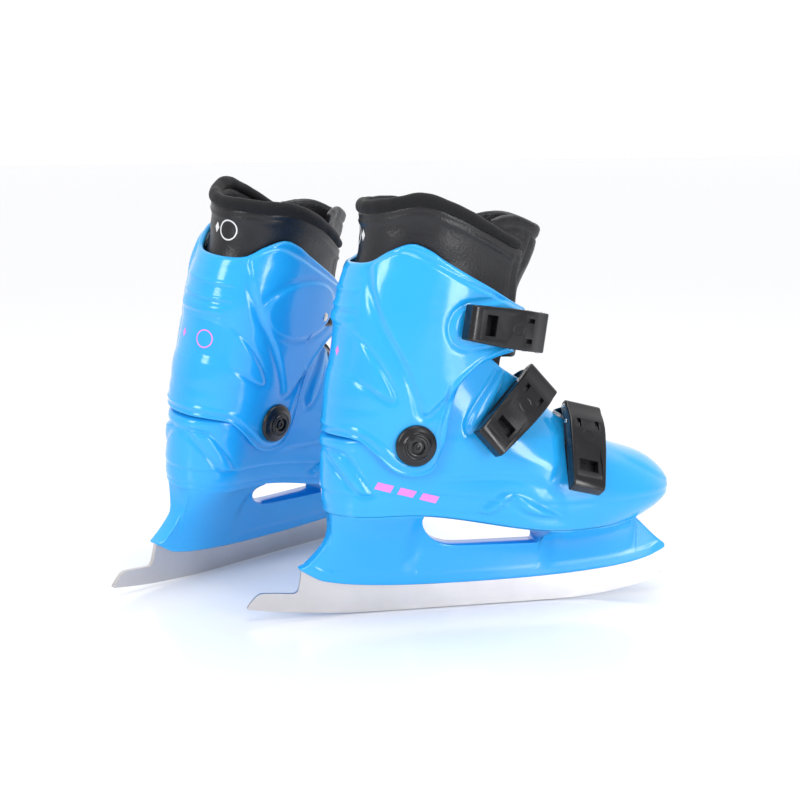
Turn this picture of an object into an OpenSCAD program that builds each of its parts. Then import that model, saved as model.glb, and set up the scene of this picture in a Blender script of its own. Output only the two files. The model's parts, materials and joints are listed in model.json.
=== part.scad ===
// A pair of hard-shell ice skates for a child's foot, EU size 35, standing on their blades.
// Each skate is drawn in its own frame: x runs forward from the tip of the blade's tail,
// y runs across the boot with the outer ankle at -y, and z is the height above the ice.
// The left skate is the right one mirrored, turned and leaned against it.

/* [Blade] */
// Thickness of the steel blade
blade_t = 3; // [2.5:0.1:3.4]
// How deep the blade sits in the holder
blade_set = 10; // [6:0.5:12]
// Number of toe-pick teeth
pick_teeth = 6; // [4:1:8]

/* [Boot] */
// Height of the sole's underside at the heel
sole_z = 73; // [72:0.5:76]
// How much lower the sole lies at the ball of the foot
sole_drop = 15.5; // [10:0.5:16]
// Wall thickness of the lower shell
shell_t = 4; // [3:0.5:4]
// Wall thickness of the cuff
cuff_t = 3.5; // [3:0.5:3.5]
// Thickness of the liner
liner_t = 4; // [3:0.5:5]
// Radius of the padded roll round the collar
roll_r = 4.5; // [3.5:0.5:5]

/* [Ankle pivot] */
// Distance of the pivot from the blade's tail tip
pivot_x = 109; // [107:0.5:111]
// Height of the pivot
pivot_z = 125; // [123:0.5:127]
// Radius of the pivot rivet's shank
pivot_r = 4; // [3:0.5:5]
// Radius of the pivot cap
cap_r = 14; // [12:0.5:15]

/* [Buckles] */
// Length of a lever from its hinge to its free end
lever_len = 64; // [58:1:66]
// Width of a lever at its hinge
lever_w = 27; // [25:0.5:29]
// Width of the ladder straps
strap_w = 14; // [10:0.5:15]
// Radius of the lever's hinge pin
pin_r = 1.5; // [1.2:0.1:1.8]

/* [Pair] */
// Turn of the left skate, toe outwards
left_turn = 36; // [30:1:45]
// Lean of the left skate towards the right one
left_lean = 8; // [0:1:10]

/* [Hidden] */
$fn = 48;
origin_x = 150;             // the row's origin on the right skate's axis
left_pos = [-86, 74, 0];    // tail tip of the left skate, from that of the right one
gap = 0.3;                  // clearance between parts that only lie against each other
run = 0.05;                 // radial clearance of a turning fit
lug_x = 38;                 // rear end of the blade's seat in the holder
blue = [0.18, 0.56, 0.95];
black = [0.04, 0.04, 0.045];
cloth = [0.09, 0.09, 0.10];
steel = [0.70, 0.68, 0.66];

// Boot sections by height: height, rear x, front x, half width at the ankle and at the ball,
// length of the rear rounding, length of the front rounding
BOOT = [[73, 55, 279, 28, 38, 34, 60], [80, 52.5, 297, 31, 42, 36, 66],
    [88, 52, 305, 32, 44, 38, 72], [99, 52, 300, 32.5, 44, 40, 78],
    [110, 52.2, 283, 33, 43, 42, 84], [118, 52.4, 256, 34, 42, 44, 84],
    [125, 52.7, 240, 34.6, 40.5, 46, 80], [129, 58.6, 230, 34.6, 39.5, 48, 78],
    [134, 58.8, 219, 34.5, 39, 48, 75], [147, 59.5, 205, 35, 37.5, 50, 75],
    [163, 61, 193, 35.5, 36.5, 52, 72], [186, 64, 183, 36, 36, 54, 68]];
CUFF = [[100, 50, 216, 39.5, 44, 46, 80], [120, 51, 214, 40, 44, 48, 80],
    [132, 53.2, 212, 41, 43.5, 50, 80], [154, 54.7, 206, 42.5, 43.5, 52, 80],
    [176, 58, 200, 43.5, 43.5, 54, 78], [197, 61, 199, 44, 43.5, 55, 76],
    [213, 62, 200, 44, 43, 56, 76], [233, 66.5, 203, 43.5, 42.5, 56, 76],
    [246, 72, 206, 43, 42, 56, 76], [262, 76, 208, 43, 42, 56, 76]];
SHAFT = [[140, 66, 178, 31, 31.5, 50, 66], [176, 66.5, 183, 34, 33.5, 52, 68],
    [190, 67, 189, 37, 36.5, 52, 70], [201, 67.2, 192.5, 38.4, 37.6, 53, 74],
    [213, 67.4, 193, 38.6, 37.5, 53, 74], [233, 71.5, 194.5, 38.2, 37, 53, 74],
    [246, 77, 197, 38, 37, 53, 74], [260, 79, 200, 39.5, 38, 52, 72],
    [292, 81, 203, 41, 39, 52, 72]];
// Edges of the cuff, the liner and the holder, seen from the side: x, z
CUFF_LOW = [[48, 131.5], [62, 131], [72, 128.5], [83, 119.5], [93, 109], [101, 104.2],
    [109, 102.8], [117, 104.2], [123, 109], [128, 121], [132, 140], [141, 161], [150, 170],
    [160, 176.5], [181, 182], [215, 184]];
CUFF_TOP = [[60, 244], [76, 246], [86, 253.5], [99, 258.5], [112, 254.5], [125, 247],
    [160, 230], [190, 214], [215, 204]];
SHAFT_TOP = [[70, 276], [90, 280], [112, 284], [135, 277], [160, 265], [180, 255],
    [195, 250], [215, 246]];
SHELL_TOP = [[50, 138], [105, 138], [122, 146], [134, 158], [142, 168], [150, 175],
    [160, 180], [176, 181], [186, 172], [215, 150]];
HOLD_LOW = [[36, 34], [54, 25], [95, 19.8], [156, 18.3], [219, 19.4], [262, 22.8],
    [285, 27.2], [302, 33.5]];
HEEL_CURVE = [[36, 34.4], [41, 36.4], [46, 40.8], [52, 47.6], [56, 54], [58.2, 61]];
WINDOW_REAR = [[118, 70], [121, 62], [126, 54.5], [132, 49.6], [140, 46.6], [150, 45.6],
    [203.5, 44.4]];
WINDOW_FRONT = [[203.5, 44.4], [205.4, 46.6], [206, 50.5]];
TOE_CURVE = [[279, 57.4], [283, 53.5], [290, 46.5], [296, 41], [300, 38], [302, 36.2]];

// A smooth curve through a table's points
function seg(t, x, i = 0) = (i >= len(t) - 2 || x < t[i + 1][0]) ? i : seg(t, x, i + 1);
function rise(t, a, b, k) = (t[b][k] - t[a][k]) / (t[b][0] - t[a][0]);
function slope(t, i, k) = rise(t, max(i - 1, 0), min(i + 1, len(t) - 1), k);
function fair(t, x, k = 1) =
    let (i = seg(t, x), h = t[i + 1][0] - t[i][0], s = min(max((x - t[i][0]) / h, 0), 1),
        s2 = s * s, s3 = s2 * s)
    (2 * s3 - 3 * s2 + 1) * t[i][k] + (s3 - 2 * s2 + s) * h * slope(t, i, k)
    + (3 * s2 - 2 * s3) * t[i + 1][k] + (s3 - s2) * h * slope(t, i + 1, k);
function clamp(a) = min(max(a, 0), 1);
function smooth(a) = let (t = clamp(a)) t * t * (3 - 2 * t);
function mix(a, b, t) = a + (b - a) * t;

// The sole drops towards the ball of the foot, and the shell follows it low down
function drop(x) = sole_drop * smooth((x - 105) / 120);
function sole(x) = sole_z - drop(x);
function sink(z) = clamp((135 - z) / 62);

// A point of a boot surface: height z, place u from -1 to 1 round the boot with 0 at the
// heel's middle, moved outwards by off
function surf(t, z, u, off = 0, foot = true) =
    let (xr = fair(t, z, 1) - off, xf = fair(t, z, 2) + off, len_x = xf - xr,
        f = (1 - cos(180 * abs(u))) / 2, x = xr + len_x * f,
        ar = fair(t, z, 5) / len_x, af = fair(t, z, 6) / len_x,
        rear = f < ar ? sqrt(max(0, 1 - pow((ar - f) / ar, 2))) : 1,
        front = f > 1 - af ? sqrt(max(0, 1 - pow((f - 1 + af) / af, 2))) : 1,
        half = mix(fair(t, z, 3), fair(t, z, 4), smooth((x - 90) / 120)) + off,
        k = foot ? sink(z) : 0)
    [x, half * rear * front * sign(u) + 7 * smooth((x - 150) / 150) * k, z - k * drop(x)];
function side_x(t, z, u) = surf(t, z, u, 0, false)[0];

// Closed solids from rings of points
function walls(n, m) = [for (i = [0 : n - 2], j = [0 : m - 1])
    let (a = i * m + j, b = i * m + (j + 1) % m) each [[a, a + m, b + m], [a, b + m, b]]];
module cup(rings) {         // rings closed round the boot, from outer floor to inner floor
    n = len(rings);
    m = len(rings[0]);
    h = m / 2;
    first = [for (j = [0 : h - 1]) let (k = (m - j) % m)
        j == 0 ? [0, 1, m - 1] : j == h - 1 ? [j, j + 1, j + 2] : [j, j + 1, k - 1, k]];
    last = [for (f = first) [for (i = [len(f) - 1 : -1 : 0]) f[i] + (n - 1) * m]];
    polyhedron([for (r = rings) each r], concat(walls(n, m), first, last), convexity = 8);
}
module sleeve(loops) {      // loops are closed sections along an open path
    n = len(loops);
    m = len(loops[0]);
    polyhedron([for (r = loops) each r],
        concat(walls(n, m), [[for (j = [0 : m - 1]) j]], [[for (j = [m - 1 : -1 : 0]) (n - 1) * m + j]]),
        convexity = 8);
}

// ---- one skate's pieces, all in the right skate's frame ----

module shell() {
    m = 48;
    us = [for (j = [0 : m - 1]) -1 + 2 * j / m];
    function top(u) = fair(SHELL_TOP, side_x(BOOT, 150, u));
    outer = [for (v = [0, .06, .13, .22, .31, .4, .48, .54, .6, .68, .78, .89, 1])
        [for (u = us) surf(BOOT, mix(sole_z, top(u), v), u)]];
    inner = [for (v = [1, .85, .7, .55, .4, .25, .12, 0])
        [for (u = us) surf(BOOT, mix(sole_z + shell_t, top(u), v), u, -shell_t)]];
    color(blue) cup(concat(outer, inner));
}

function hold_low(x) = fair(HOLD_LOW, x);
function hold_top(x) =
    x < 58 ? fair(HEEL_CURVE, x)
    : x < 118 ? sole(x) - gap
    : x < 203.5 ? fair(WINDOW_REAR, x)
    : x < 206.1 ? fair(WINDOW_FRONT, x)
    : x < 279 ? sole(x) - gap : fair(TOE_CURVE, x);
function seat_top(x) = hold_low(x) + min(blade_set, 0.5 * (hold_top(x) - hold_low(x)));
function sole_half(x) =
    let (u = acos(1 - 2 * clamp((x - 55) / 224)) / 180) abs(surf(BOOT, sole_z, -u)[1]);
function hold_half(x, z) =
    let (end = clamp(min(x - 36, 302.5 - x) / 12), low = 3.2 + 4 * sqrt(1 - pow(1 - end, 2)),
        t = clamp((z - hold_low(x)) / (sole(x) - hold_low(x))))
    max(low + (sole_half(x) - 1.5 - low) * pow(t, 2.4), low);
module holder() {
    xs = concat([36.5, 38, 41, 44, 48, 52, 55, 57.9, 58.1, 62], [67 : 8 : 115],
        [117.9, 119, 121, 124, 128, 133, 140, 150], [160 : 11 : 193],
        [203.4, 205, 205.9, 206.2, 210], [218 : 9 : 272], [278.9, 281, 285, 290, 296, 301.5]);
    xl = [for (x = xs) each (is_num(x) ? [x] : [for (i = x) i])];
    color(blue) sleeve([for (x = xl)
        let (a = hold_low(x), b = hold_top(x), s = seat_top(x), w = blade_t / 2 + run,
            hs = [for (v = [0, .3, .55, .75, .9, 1]) let (z = mix(a, b, v)) [hold_half(x, z), z]])
        concat([[x, -w, s], [x, -w, a]], [for (h = hs) [x, -h[0], h[1]]],
            [for (i = [len(hs) - 1 : -1 : 0]) [x, hs[i][0], hs[i][1]]], [[x, w, a], [x, w, s]])]);
}

function edge(x) =      // the blade's running edge: flat, with the tail and toe curving up
    x < 95 ? 7.5 * pow((95 - x) / 95, 2) : x > 215 ? 9 * pow((x - 215) / 75, 2.2) : 0;
module blade() {
    seat = [for (i = [0 : 26]) let (x = 40 + 10 * i) [x, seat_top(x) - gap]];
    teeth = [for (i = [0 : pick_teeth - 1], k = [0, 1])
        [299.6 + 0.25 * i + (k == 0 ? 0 : 1.6), 15 + 2 * i + k * 0.6]];
    outline = concat(
        [for (x = [4 : 8 : 92]) [x, edge(x)]],
        [[95, 0], [215, 0]],
        [for (x = [225 : 9 : 288]) [x, edge(x)]],
        [[294, 11]], teeth, [[300, 27.8], [300, 31.5]],
        [for (i = [26 : -1 : 0]) seat[i]],
        [[lug_x, hold_low(lug_x) + 0.4], [37.4, 28], [36.6, 22], [35.2, 18.4], [33, 16.8],
        [29.5, 16.9], [12, 18], [8.4, 17.4], [4.5, 14], [1, 9.6], [0.2, 8.2], [1.2, 7.3]]);
    color(steel) translate([0, blade_t / 2, 0]) rotate([90, 0, 0])
        linear_extrude(blade_t) polygon(outline);
}

module sole_screws() {
    color(steel) for (p = [[76, -9], [76, 9], [104, -14], [104, 14], [226, -12], [226, 16],
            [258, -8], [258, 12]]) {
        translate([p[0], p[1], sole(p[0]) - 9]) cylinder(r = 2, h = 9 + shell_t);
        translate([p[0], p[1], sole(p[0]) + shell_t]) cylinder(r = 4, h = 1.2);
    }
}

module footbed() {
    m = 32;
    us = [for (j = [0 : m - 1]) -1 + 2 * j / m];
    z = sole_z + shell_t + liner_t + 3;
    ring = function (z, off) [for (u = us) surf(BOOT, z, u, off)];
    off = -shell_t - liner_t - 5;
    color([0.2, 0.2, 0.22]) cup([ring(z, off - 1), ring(z + 1.5, off), ring(z + 3, off - 0.4),
        ring(z + 3, off - 4)]);
}

function split_z(x) = 141 + 0.27 * (x - 55);
module liner_foot() {
    m = 40;
    us = [for (j = [0 : m - 1]) -1 + 2 * j / m];
    floor_z = sole_z + shell_t + 1.6;
    top = function (u) min(split_z(side_x(BOOT, 150, u)), fair(SHELL_TOP, side_x(BOOT, 150, u)) - 3);
    rings = function (vs, z0, off)
        [for (v = vs) [for (u = us) surf(BOOT, mix(z0, top(u), v), u, off)]];
    off = -shell_t - 3;
    color(cloth) cup(concat(rings([0, .1, .25, .42, .58, .78, 1], floor_z, off),
        rings([1, .75, .5, .28, .1, 0], floor_z + liner_t, off - liner_t)));
}

// A wall round the back of the boot, open at the front between u = -e and u = e
module wrap(t, low, top, off_out, off_in, e0, e1, m, vs, foot = false) {
    grid = function (off) [for (j = [0 : m])
        [for (v = vs) let (e = mix(e0, e1, v), u = e * (2 * j / m - 1))
            surf(t, mix(low(u), top(u), v), u, off, foot)]];
    a = grid(off_out);
    b = grid(off_in);
    last = len(vs) - 1;
    sleeve([for (j = [0 : m]) concat([for (i = [0 : last]) a[j][i]],
        [for (i = [last : -1 : 0]) b[j][i]])]);
}

module cuff() {
    low = function (u) fair(CUFF_LOW, side_x(CUFF, 125, u));
    top = function (u) fair(CUFF_TOP, side_x(CUFF, 235, u));
    color(blue) difference() {
        wrap(CUFF, low, top, 0, -cuff_t, 0.765, 0.83, 54, [0, .15, .3, .45, .6, .8, 1]);
        for (s = [-1, 1]) translate([pivot_x, s * 38, pivot_z]) rotate([90, 0, 0])
            cylinder(r = pivot_r + run, h = 14, center = true);
    }
}

function shaft_low(u) = let (x = side_x(SHAFT, 165, u))
    150 + 0.35 * (x - 55) + 5 * smooth((x - 112) / 26);
function shaft_top(u) = fair(SHAFT_TOP, side_x(SHAFT, 260, u));
module liner_shaft() {
    low = function (u) shaft_low(u);
    top = function (u) shaft_top(u);
    color(cloth) wrap(SHAFT, low, top, 0, -liner_t - 1, 0.80, 0.84, 36,
        [0, .15, .3, .5, .75, 1]);
}

module collar_roll() {      // a soft round roll that closes the top of the liner
    m = 36;
    loops = [for (j = [0 : m]) let (u = 0.79 * (2 * j / m - 1), z = shaft_top(u) + roll_r + gap,
            p = surf(SHAFT, z, u, -2.5, false), q = surf(SHAFT, z, u, -3.5, false),
            n = (p - q) / norm(p - q))
        [for (k = [0 : 7]) p + roll_r * (n * cos(45 * k) + [0, 0, 1] * sin(45 * k))]];
    color([0.06, 0.06, 0.065]) sleeve(loops);
}

module tongue_shaft() {     // a padded plate behind the front opening
    rows = [[188, 181, 16], [200, 184, 15.5], [215, 186.5, 15], [228, 190, 14], [240, 196, 15],
        [254, 202, 18.5], [264, 206, 19.5], [271, 207, 17], [276, 205, 12]];
    front = function (r) [for (a = [-1, -.66, -.33, 0, .33, .66, 1])
        [r[1] - 6 * pow(abs(a), 2.2) * r[2] / 26, r[2] * a, r[0]]];
    color(cloth) sleeve([for (r = rows) let (f = front(r)) concat(f,
        [for (i = [6 : -1 : 0]) f[i] - [7 * (i == 0 || i == 6 ? 0.4 : 1), 0, 0]])]);
}

module pivot_rivets() {
    color(steel) for (s = [-1, 1]) translate([pivot_x, s * 37.1, pivot_z]) rotate([90, 0, 0])
        cylinder(r = pivot_r, h = 10.2, center = true);
}
module pivot_caps() {       // a round flange with a stepped boss, on each side of the ankle
    profile = [[0, 0], [cap_r, 0], [cap_r, 1.2], [cap_r - 1.5, 2.2], [cap_r * 0.62, 3.2],
        [cap_r * 0.6, 4.6], [cap_r * 0.54, 5], [cap_r * 0.36, 4.4], [0, 4.4]];
    color(black) for (s = [-1, 1]) translate([pivot_x, s * 42.2, pivot_z])
        rotate([-90 * s, 0, 0]) rotate_extrude() polygon(profile);
}

// ---- buckles: x from the hinge to the lever's free end, y across, z away from the boot ----
hinge_z = 3;                // hinge pin above the plane of the base's flat part
nose_r = 4.2;               // rounding of the lever's nose round the pin
nose_in = 3.2;              // inside of the nose, round the ears of the base
ear_r = 2.8;                // round ends of the base's ears
wall_in = lever_w / 2 - 2;  // inner face of the lever's side walls
plate_t = 2.2;              // thickness of the lever's top plate
base_t = 1.5;
base_len = 52;
catch_x = 13;               // the catch pin that holds the ladder strap
catch_z = 5;

// Where a buckle sits: its origin, the direction of its lever and the outward direction
TOP_AT = [[197.2, -24.9, 195.6], [-0.916, -0.352, 0.193], [0.363, -0.931, 0.025]];
MID_AT = [[200.2, -19.2, 160.1], [-0.717, -0.4, -0.572], [0.243, -0.911, 0.333]];
TOE_AT = [[232, -13.5, 137.4], [-0.157, -0.629, -0.761], [0.213, -0.774, 0.596]];
function unit(v) = v / norm(v);
function axes(at) = let (x = unit(at[1]), y = unit(cross(at[2], x))) [x, y, cross(x, y)];
function place(at, p) = at[0] + p * axes(at);
module seat_on(at) {
    a = axes(at);
    multmatrix([for (i = [0 : 2]) [a[0][i], a[1][i], a[2][i], at[0][i]]]) children();
}
module across(w) rotate([90, 0, 0]) linear_extrude(w, center = true) children();
module pin_at(x, z, r, w) translate([x, 0, z]) rotate([90, 0, 0])
    cylinder(r = r, h = w, center = true);

function nose(r, from, to) = [for (i = [0 : 12]) let (a = mix(from, to, i / 12))
    [r * cos(a), hinge_z + r * sin(a)]];
module lever() {            // a flat cover, open below, that bends down to its round nose
    end = lever_len;
    color(black) difference() {
        across(lever_w) polygon(concat(nose(nose_r, 102, 270), [[3, hinge_z - nose_r + 1.2],
            [10, 1.2], [end, 1.2], [end, 9.4], [end - 4, 11.6], [21, 12.5], [17, 12.1]]));
        across(2 * wall_in) polygon(concat(nose(nose_in, 102, 180), [[-6, hinge_z], [-6, -5],
            [end - plate_t, -5], [end - plate_t, 8.4], [end - 4, 11.6 - plate_t],
            [21, 12.5 - plate_t], [17, 12.1 - plate_t]]));
        for (s = [-1, 1]) translate([30, s * (lever_w / 2 + 3), 5]) rotate([0, 0, -s * 3])
            translate([20, 0, 0]) cube([44, 6, 30], center = true);
        translate([end - 21, -7, 5]) cube([9, 14, 20]);
        pin_at(0, hinge_z, pin_r + run, 60);
        pin_at(catch_x, catch_z, pin_r, 60);
    }
}
module catch_pin() color(steel) pin_at(catch_x, catch_z, pin_r, lever_w + 0.8);
module hinge_pin() color(steel) pin_at(0, hinge_z, pin_r, lever_w + 1);
module base() {             // a riveted plate with two ears that carry the hinge pin
    ear = wall_in - 0.5;
    color(black) difference() {
        union() {
            across(2 * ear) polygon([[-2, -5], [0, -4.7], [14, 0], [base_len, 0],
                [base_len, base_t], [14, base_t], [0, -3.2], [-2, -3.6]]);
            for (s = [-1, 1]) translate([0, s * (ear - 1), 0]) across(2) union() {
                translate([0, hinge_z]) circle(r = ear_r);
                polygon([[1.1, 0.5], [2.2, -2.8], [9, -0.6], [13, 1], [9, 2.6], [2.6, 4.1]]);
            }
        }
        pin_at(0, hinge_z, pin_r, 60);
        for (x = [24, 46]) translate([x, 0, -2]) cylinder(r = 2, h = 6);
    }
}
module base_rivets() color(steel) { // the front one is flush, under the ladder strap
    for (x = [24, 46]) translate([x, 0, -4]) cylinder(r = 2, h = 4 + base_t);
    translate([46, 0, base_t]) cylinder(r = 3.2, h = 1.2);
}

// A ladder strap: from under the catch pin, past the nose and round the boot to its anchor.
// A station is a point on its underside and the direction away from the boot.
function on_buckle(at) = [for (p = [[36, 1.6, 0], [14.4, 1.65, -9], [0, -3.05, -15],
        [-2.4, -3.55, -12], [-5, -4, -12]])
    [place(at, [p[0], 0, p[1]]), [sin(p[2]), 0, cos(p[2])] * axes(at)]];
function on_boot(t, path, foot) = [for (q = path) let (z = q[0], u = q[1], off = q[2],
        p = surf(t, z, u, off, foot), e = u > 0.99 || u < -0.99 ? 0 : 0.004,
        du = e == 0 ? [0, 1, 0] : surf(t, z, u + e, off, foot) - surf(t, z, u - e, off, foot),
        dz = surf(t, z + 0.4, u, off, foot) - surf(t, z - 0.4, u, off, foot),
        n = unit(cross(du, dz)))
    [p, n * sign(n * (p - [120, 0, 110]))]];
module strap(stations, thick = 1.2) {
    n = len(stations) - 1;
    ends = function (i) stations[min(max(i, 0), n)][0];
    color(black) sleeve([for (i = [0 : n])
        let (p = ends(i), b = unit(cross(ends(i + 1) - ends(i - 1), stations[i][1])) * strap_w / 2,
            t = stations[i][1] * thick)
        [p - b, p + b, p + b + t, p - b + t]]);
}
module strap_top() strap(concat(on_buckle(TOP_AT), on_boot(CUFF, [[192, -0.965, 4.5],
    [191, 0.985, 3], [191, 0.93, 1.8], [192, 0.87, 1.2], [194, 0.8, 1], [196, 0.73, 1],
    [198, 0.66, 1], [200, 0.6, 1], [201, 0.55, 1]], false)));
module strap_mid() strap(concat(on_buckle(MID_AT), on_boot(BOOT, [[160, -0.99, 5.5],
    [159, 0.97, 4], [157, 0.93, 3], [154, 0.88, 2.4], [150, 0.82, 2], [145, 0.76, 2],
    [140, 0.7, 2], [135, 0.65, 2]], true)));
module strap_toe() strap(concat(on_buckle(TOE_AT), on_boot(BOOT, [[133, 0.98, 6],
    [132, 0.95, 5], [130, 0.91, 4], [126, 0.87, 3.4], [121, 0.82, 3], [115, 0.77, 2.6],
    [108, 0.735, 2.2], [101, 0.71, 2]], true)));
module strap_rivet(t, z, u, foot) {     // at the strap's fixed end
    p = surf(t, z, u, 0, foot);
    q = surf(t, z, u, 1, foot);
    d = unit([q[0] - p[0], q[1] - p[1], 0]);
    color(steel) translate(p - 2 * d) rotate([0, 90, atan2(d[1], d[0])]) {
        cylinder(r = 2, h = 5.2);
        translate([0, 0, 4.6]) cylinder(r = 4, h = 1.2);
    }
}

module top_rivets() {        // the base's rivets and the one at the strap's far end
    seat_on(TOP_AT) base_rivets();
    strap_rivet(CUFF, 200.4, 0.585, false);
}

module right() translate([-origin_x, 0, 0]) children();
module left() right() translate(left_pos) rotate([0, 0, left_turn])
    translate([0, -blade_t / 2, 0]) rotate([left_lean, 0, 0]) translate([0, blade_t / 2, 0])
    mirror([0, 1, 0]) children();

module pins_foot() {
    seat_on(MID_AT) hinge_pin();
    seat_on(TOE_AT) hinge_pin();
}
module rivets_foot() {
    seat_on(MID_AT) base_rivets();
    seat_on(TOE_AT) base_rivets();
}
module strap_rivets() {
    strap_rivet(BOOT, 138, 0.68, true);
    strap_rivet(BOOT, 105, 0.723, true);
}

right() shell();  // shell_r
right() holder();  // holder_r
right() blade();  // blade_r
right() sole_screws();  // sole_screws_r
right() footbed();  // footbed_r
right() liner_foot();  // liner_foot_r
right() cuff();  // cuff_r
right() liner_shaft();  // liner_shaft_r
right() collar_roll();  // collar_roll_r
right() tongue_shaft();  // tongue_shaft_r
right() pivot_caps();  // pivot_caps_r
right() pivot_rivets();  // pivot_rivets_r
right() seat_on(TOP_AT) base();  // base_top_r
right() seat_on(TOP_AT) lever();  // lever_top_r
right() strap_top();  // strap_top_r
right() seat_on(TOP_AT) hinge_pin();  // pins_top_r
right() top_rivets();  // rivets_top_r
right() seat_on(MID_AT) base();  // base_mid_r
right() seat_on(MID_AT) lever();  // lever_mid_r
right() strap_mid();  // strap_mid_r
right() seat_on(TOE_AT) base();  // base_toe_r
right() seat_on(TOE_AT) lever();  // lever_toe_r
right() strap_toe();  // strap_toe_r
right() pins_foot();  // pins_foot_r
right() rivets_foot();  // rivets_foot_r
right() strap_rivets();  // strap_rivets_r
right() seat_on(TOP_AT) catch_pin();  // catch_top_r
right() seat_on(MID_AT) catch_pin();  // catch_mid_r
right() seat_on(TOE_AT) catch_pin();  // catch_toe_r

left() shell();  // shell_l
left() holder();  // holder_l
left() blade();  // blade_l
left() sole_screws();  // sole_screws_l
left() footbed();  // footbed_l
left() liner_foot();  // liner_foot_l
left() cuff();  // cuff_l
left() liner_shaft();  // liner_shaft_l
left() collar_roll();  // collar_roll_l
left() tongue_shaft();  // tongue_shaft_l
left() pivot_caps();  // pivot_caps_l
left() pivot_rivets();  // pivot_rivets_l
left() seat_on(TOP_AT) base();  // base_top_l
left() seat_on(TOP_AT) lever();  // lever_top_l
left() strap_top();  // strap_top_l
left() seat_on(TOP_AT) hinge_pin();  // pins_top_l
left() top_rivets();  // rivets_top_l
left() seat_on(MID_AT) base();  // base_mid_l
left() seat_on(MID_AT) lever();  // lever_mid_l
left() strap_mid();  // strap_mid_l
left() seat_on(TOE_AT) base();  // base_toe_l
left() seat_on(TOE_AT) lever();  // lever_toe_l
left() strap_toe();  // strap_toe_l
left() pins_foot();  // pins_foot_l
left() rivets_foot();  // rivets_foot_l
left() strap_rivets();  // strap_rivets_l
left() seat_on(TOP_AT) catch_pin();  // catch_top_l
left() seat_on(MID_AT) catch_pin();  // catch_mid_l
left() seat_on(TOE_AT) catch_pin();  // catch_toe_l
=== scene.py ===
import math

import bmesh
import bpy
import numpy as np
from mathutils import Matrix, Vector
from mathutils.bvhtree import BVHTree
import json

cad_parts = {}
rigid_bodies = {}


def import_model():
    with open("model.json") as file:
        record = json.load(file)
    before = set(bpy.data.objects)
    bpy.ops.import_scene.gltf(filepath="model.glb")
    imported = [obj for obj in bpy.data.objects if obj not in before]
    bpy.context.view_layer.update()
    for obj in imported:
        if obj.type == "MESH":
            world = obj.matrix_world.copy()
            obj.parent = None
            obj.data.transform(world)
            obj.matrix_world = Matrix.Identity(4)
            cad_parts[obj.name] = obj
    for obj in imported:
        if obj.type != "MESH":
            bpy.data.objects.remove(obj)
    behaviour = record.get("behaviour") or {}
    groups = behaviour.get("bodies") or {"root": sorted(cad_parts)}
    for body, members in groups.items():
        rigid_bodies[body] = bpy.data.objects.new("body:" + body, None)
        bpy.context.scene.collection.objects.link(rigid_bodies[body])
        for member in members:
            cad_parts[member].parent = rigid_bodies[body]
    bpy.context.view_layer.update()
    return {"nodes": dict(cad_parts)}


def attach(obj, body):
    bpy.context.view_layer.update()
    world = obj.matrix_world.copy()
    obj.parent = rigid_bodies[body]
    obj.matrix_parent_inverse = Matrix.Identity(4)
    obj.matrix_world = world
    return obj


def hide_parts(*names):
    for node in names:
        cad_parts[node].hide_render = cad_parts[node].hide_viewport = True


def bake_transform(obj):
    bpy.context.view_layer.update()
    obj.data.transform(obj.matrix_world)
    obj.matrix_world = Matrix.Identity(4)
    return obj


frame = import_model()
scene = bpy.context.scene
print("frame loaded:", len(frame["nodes"]), "CAD nodes")

# where the two skates stand; a skate is drawn in millimetres with x forward from the
# blade's tail tip, y across (outer ankle at -y) and z up from the ice
pairPlace = {
    "originX": 150.0,
    "leftTailX": -86.0,
    "leftTailY": 74.0,
    "leftTurn": 36.0,
    "leftLean": 8.0,
    "bladeHalf": 1.5,
}
bodyOf = {
    ("boot", "R"): "boot_right",
    ("cuff", "R"): "cuff_right",
    ("boot", "L"): "boot_left",
    ("cuff", "L"): "cuff_left",
}
sideWord = {"R": "right", "L": "left"}
sideTail = {"R": "_r", "L": "_l"}


def skateMatrix(side):
    p = pairPlace
    back = Matrix.Translation((-p["originX"], 0, 0))
    if side == "L":
        lean = (
            Matrix.Translation((0, -p["bladeHalf"], 0))
            @ Matrix.Rotation(math.radians(p["leftLean"]), 4, "X")
            @ Matrix.Translation((0, p["bladeHalf"], 0))
        )
        turn = Matrix.Rotation(math.radians(p["leftTurn"]), 4, "Z")
        tail = Matrix.Translation((p["leftTailX"], p["leftTailY"], 0))
        back = back @ tail @ turn @ lean @ Matrix.Diagonal((1, -1, 1, 1))
    return Matrix.Scale(0.001, 4) @ back


skateTo = {side: skateMatrix(side) for side in "RL"}


def toRow(points, side):
    m = np.array(skateTo[side])
    return np.asarray(points, float) @ m[:3, :3].T + m[:3, 3]


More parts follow.
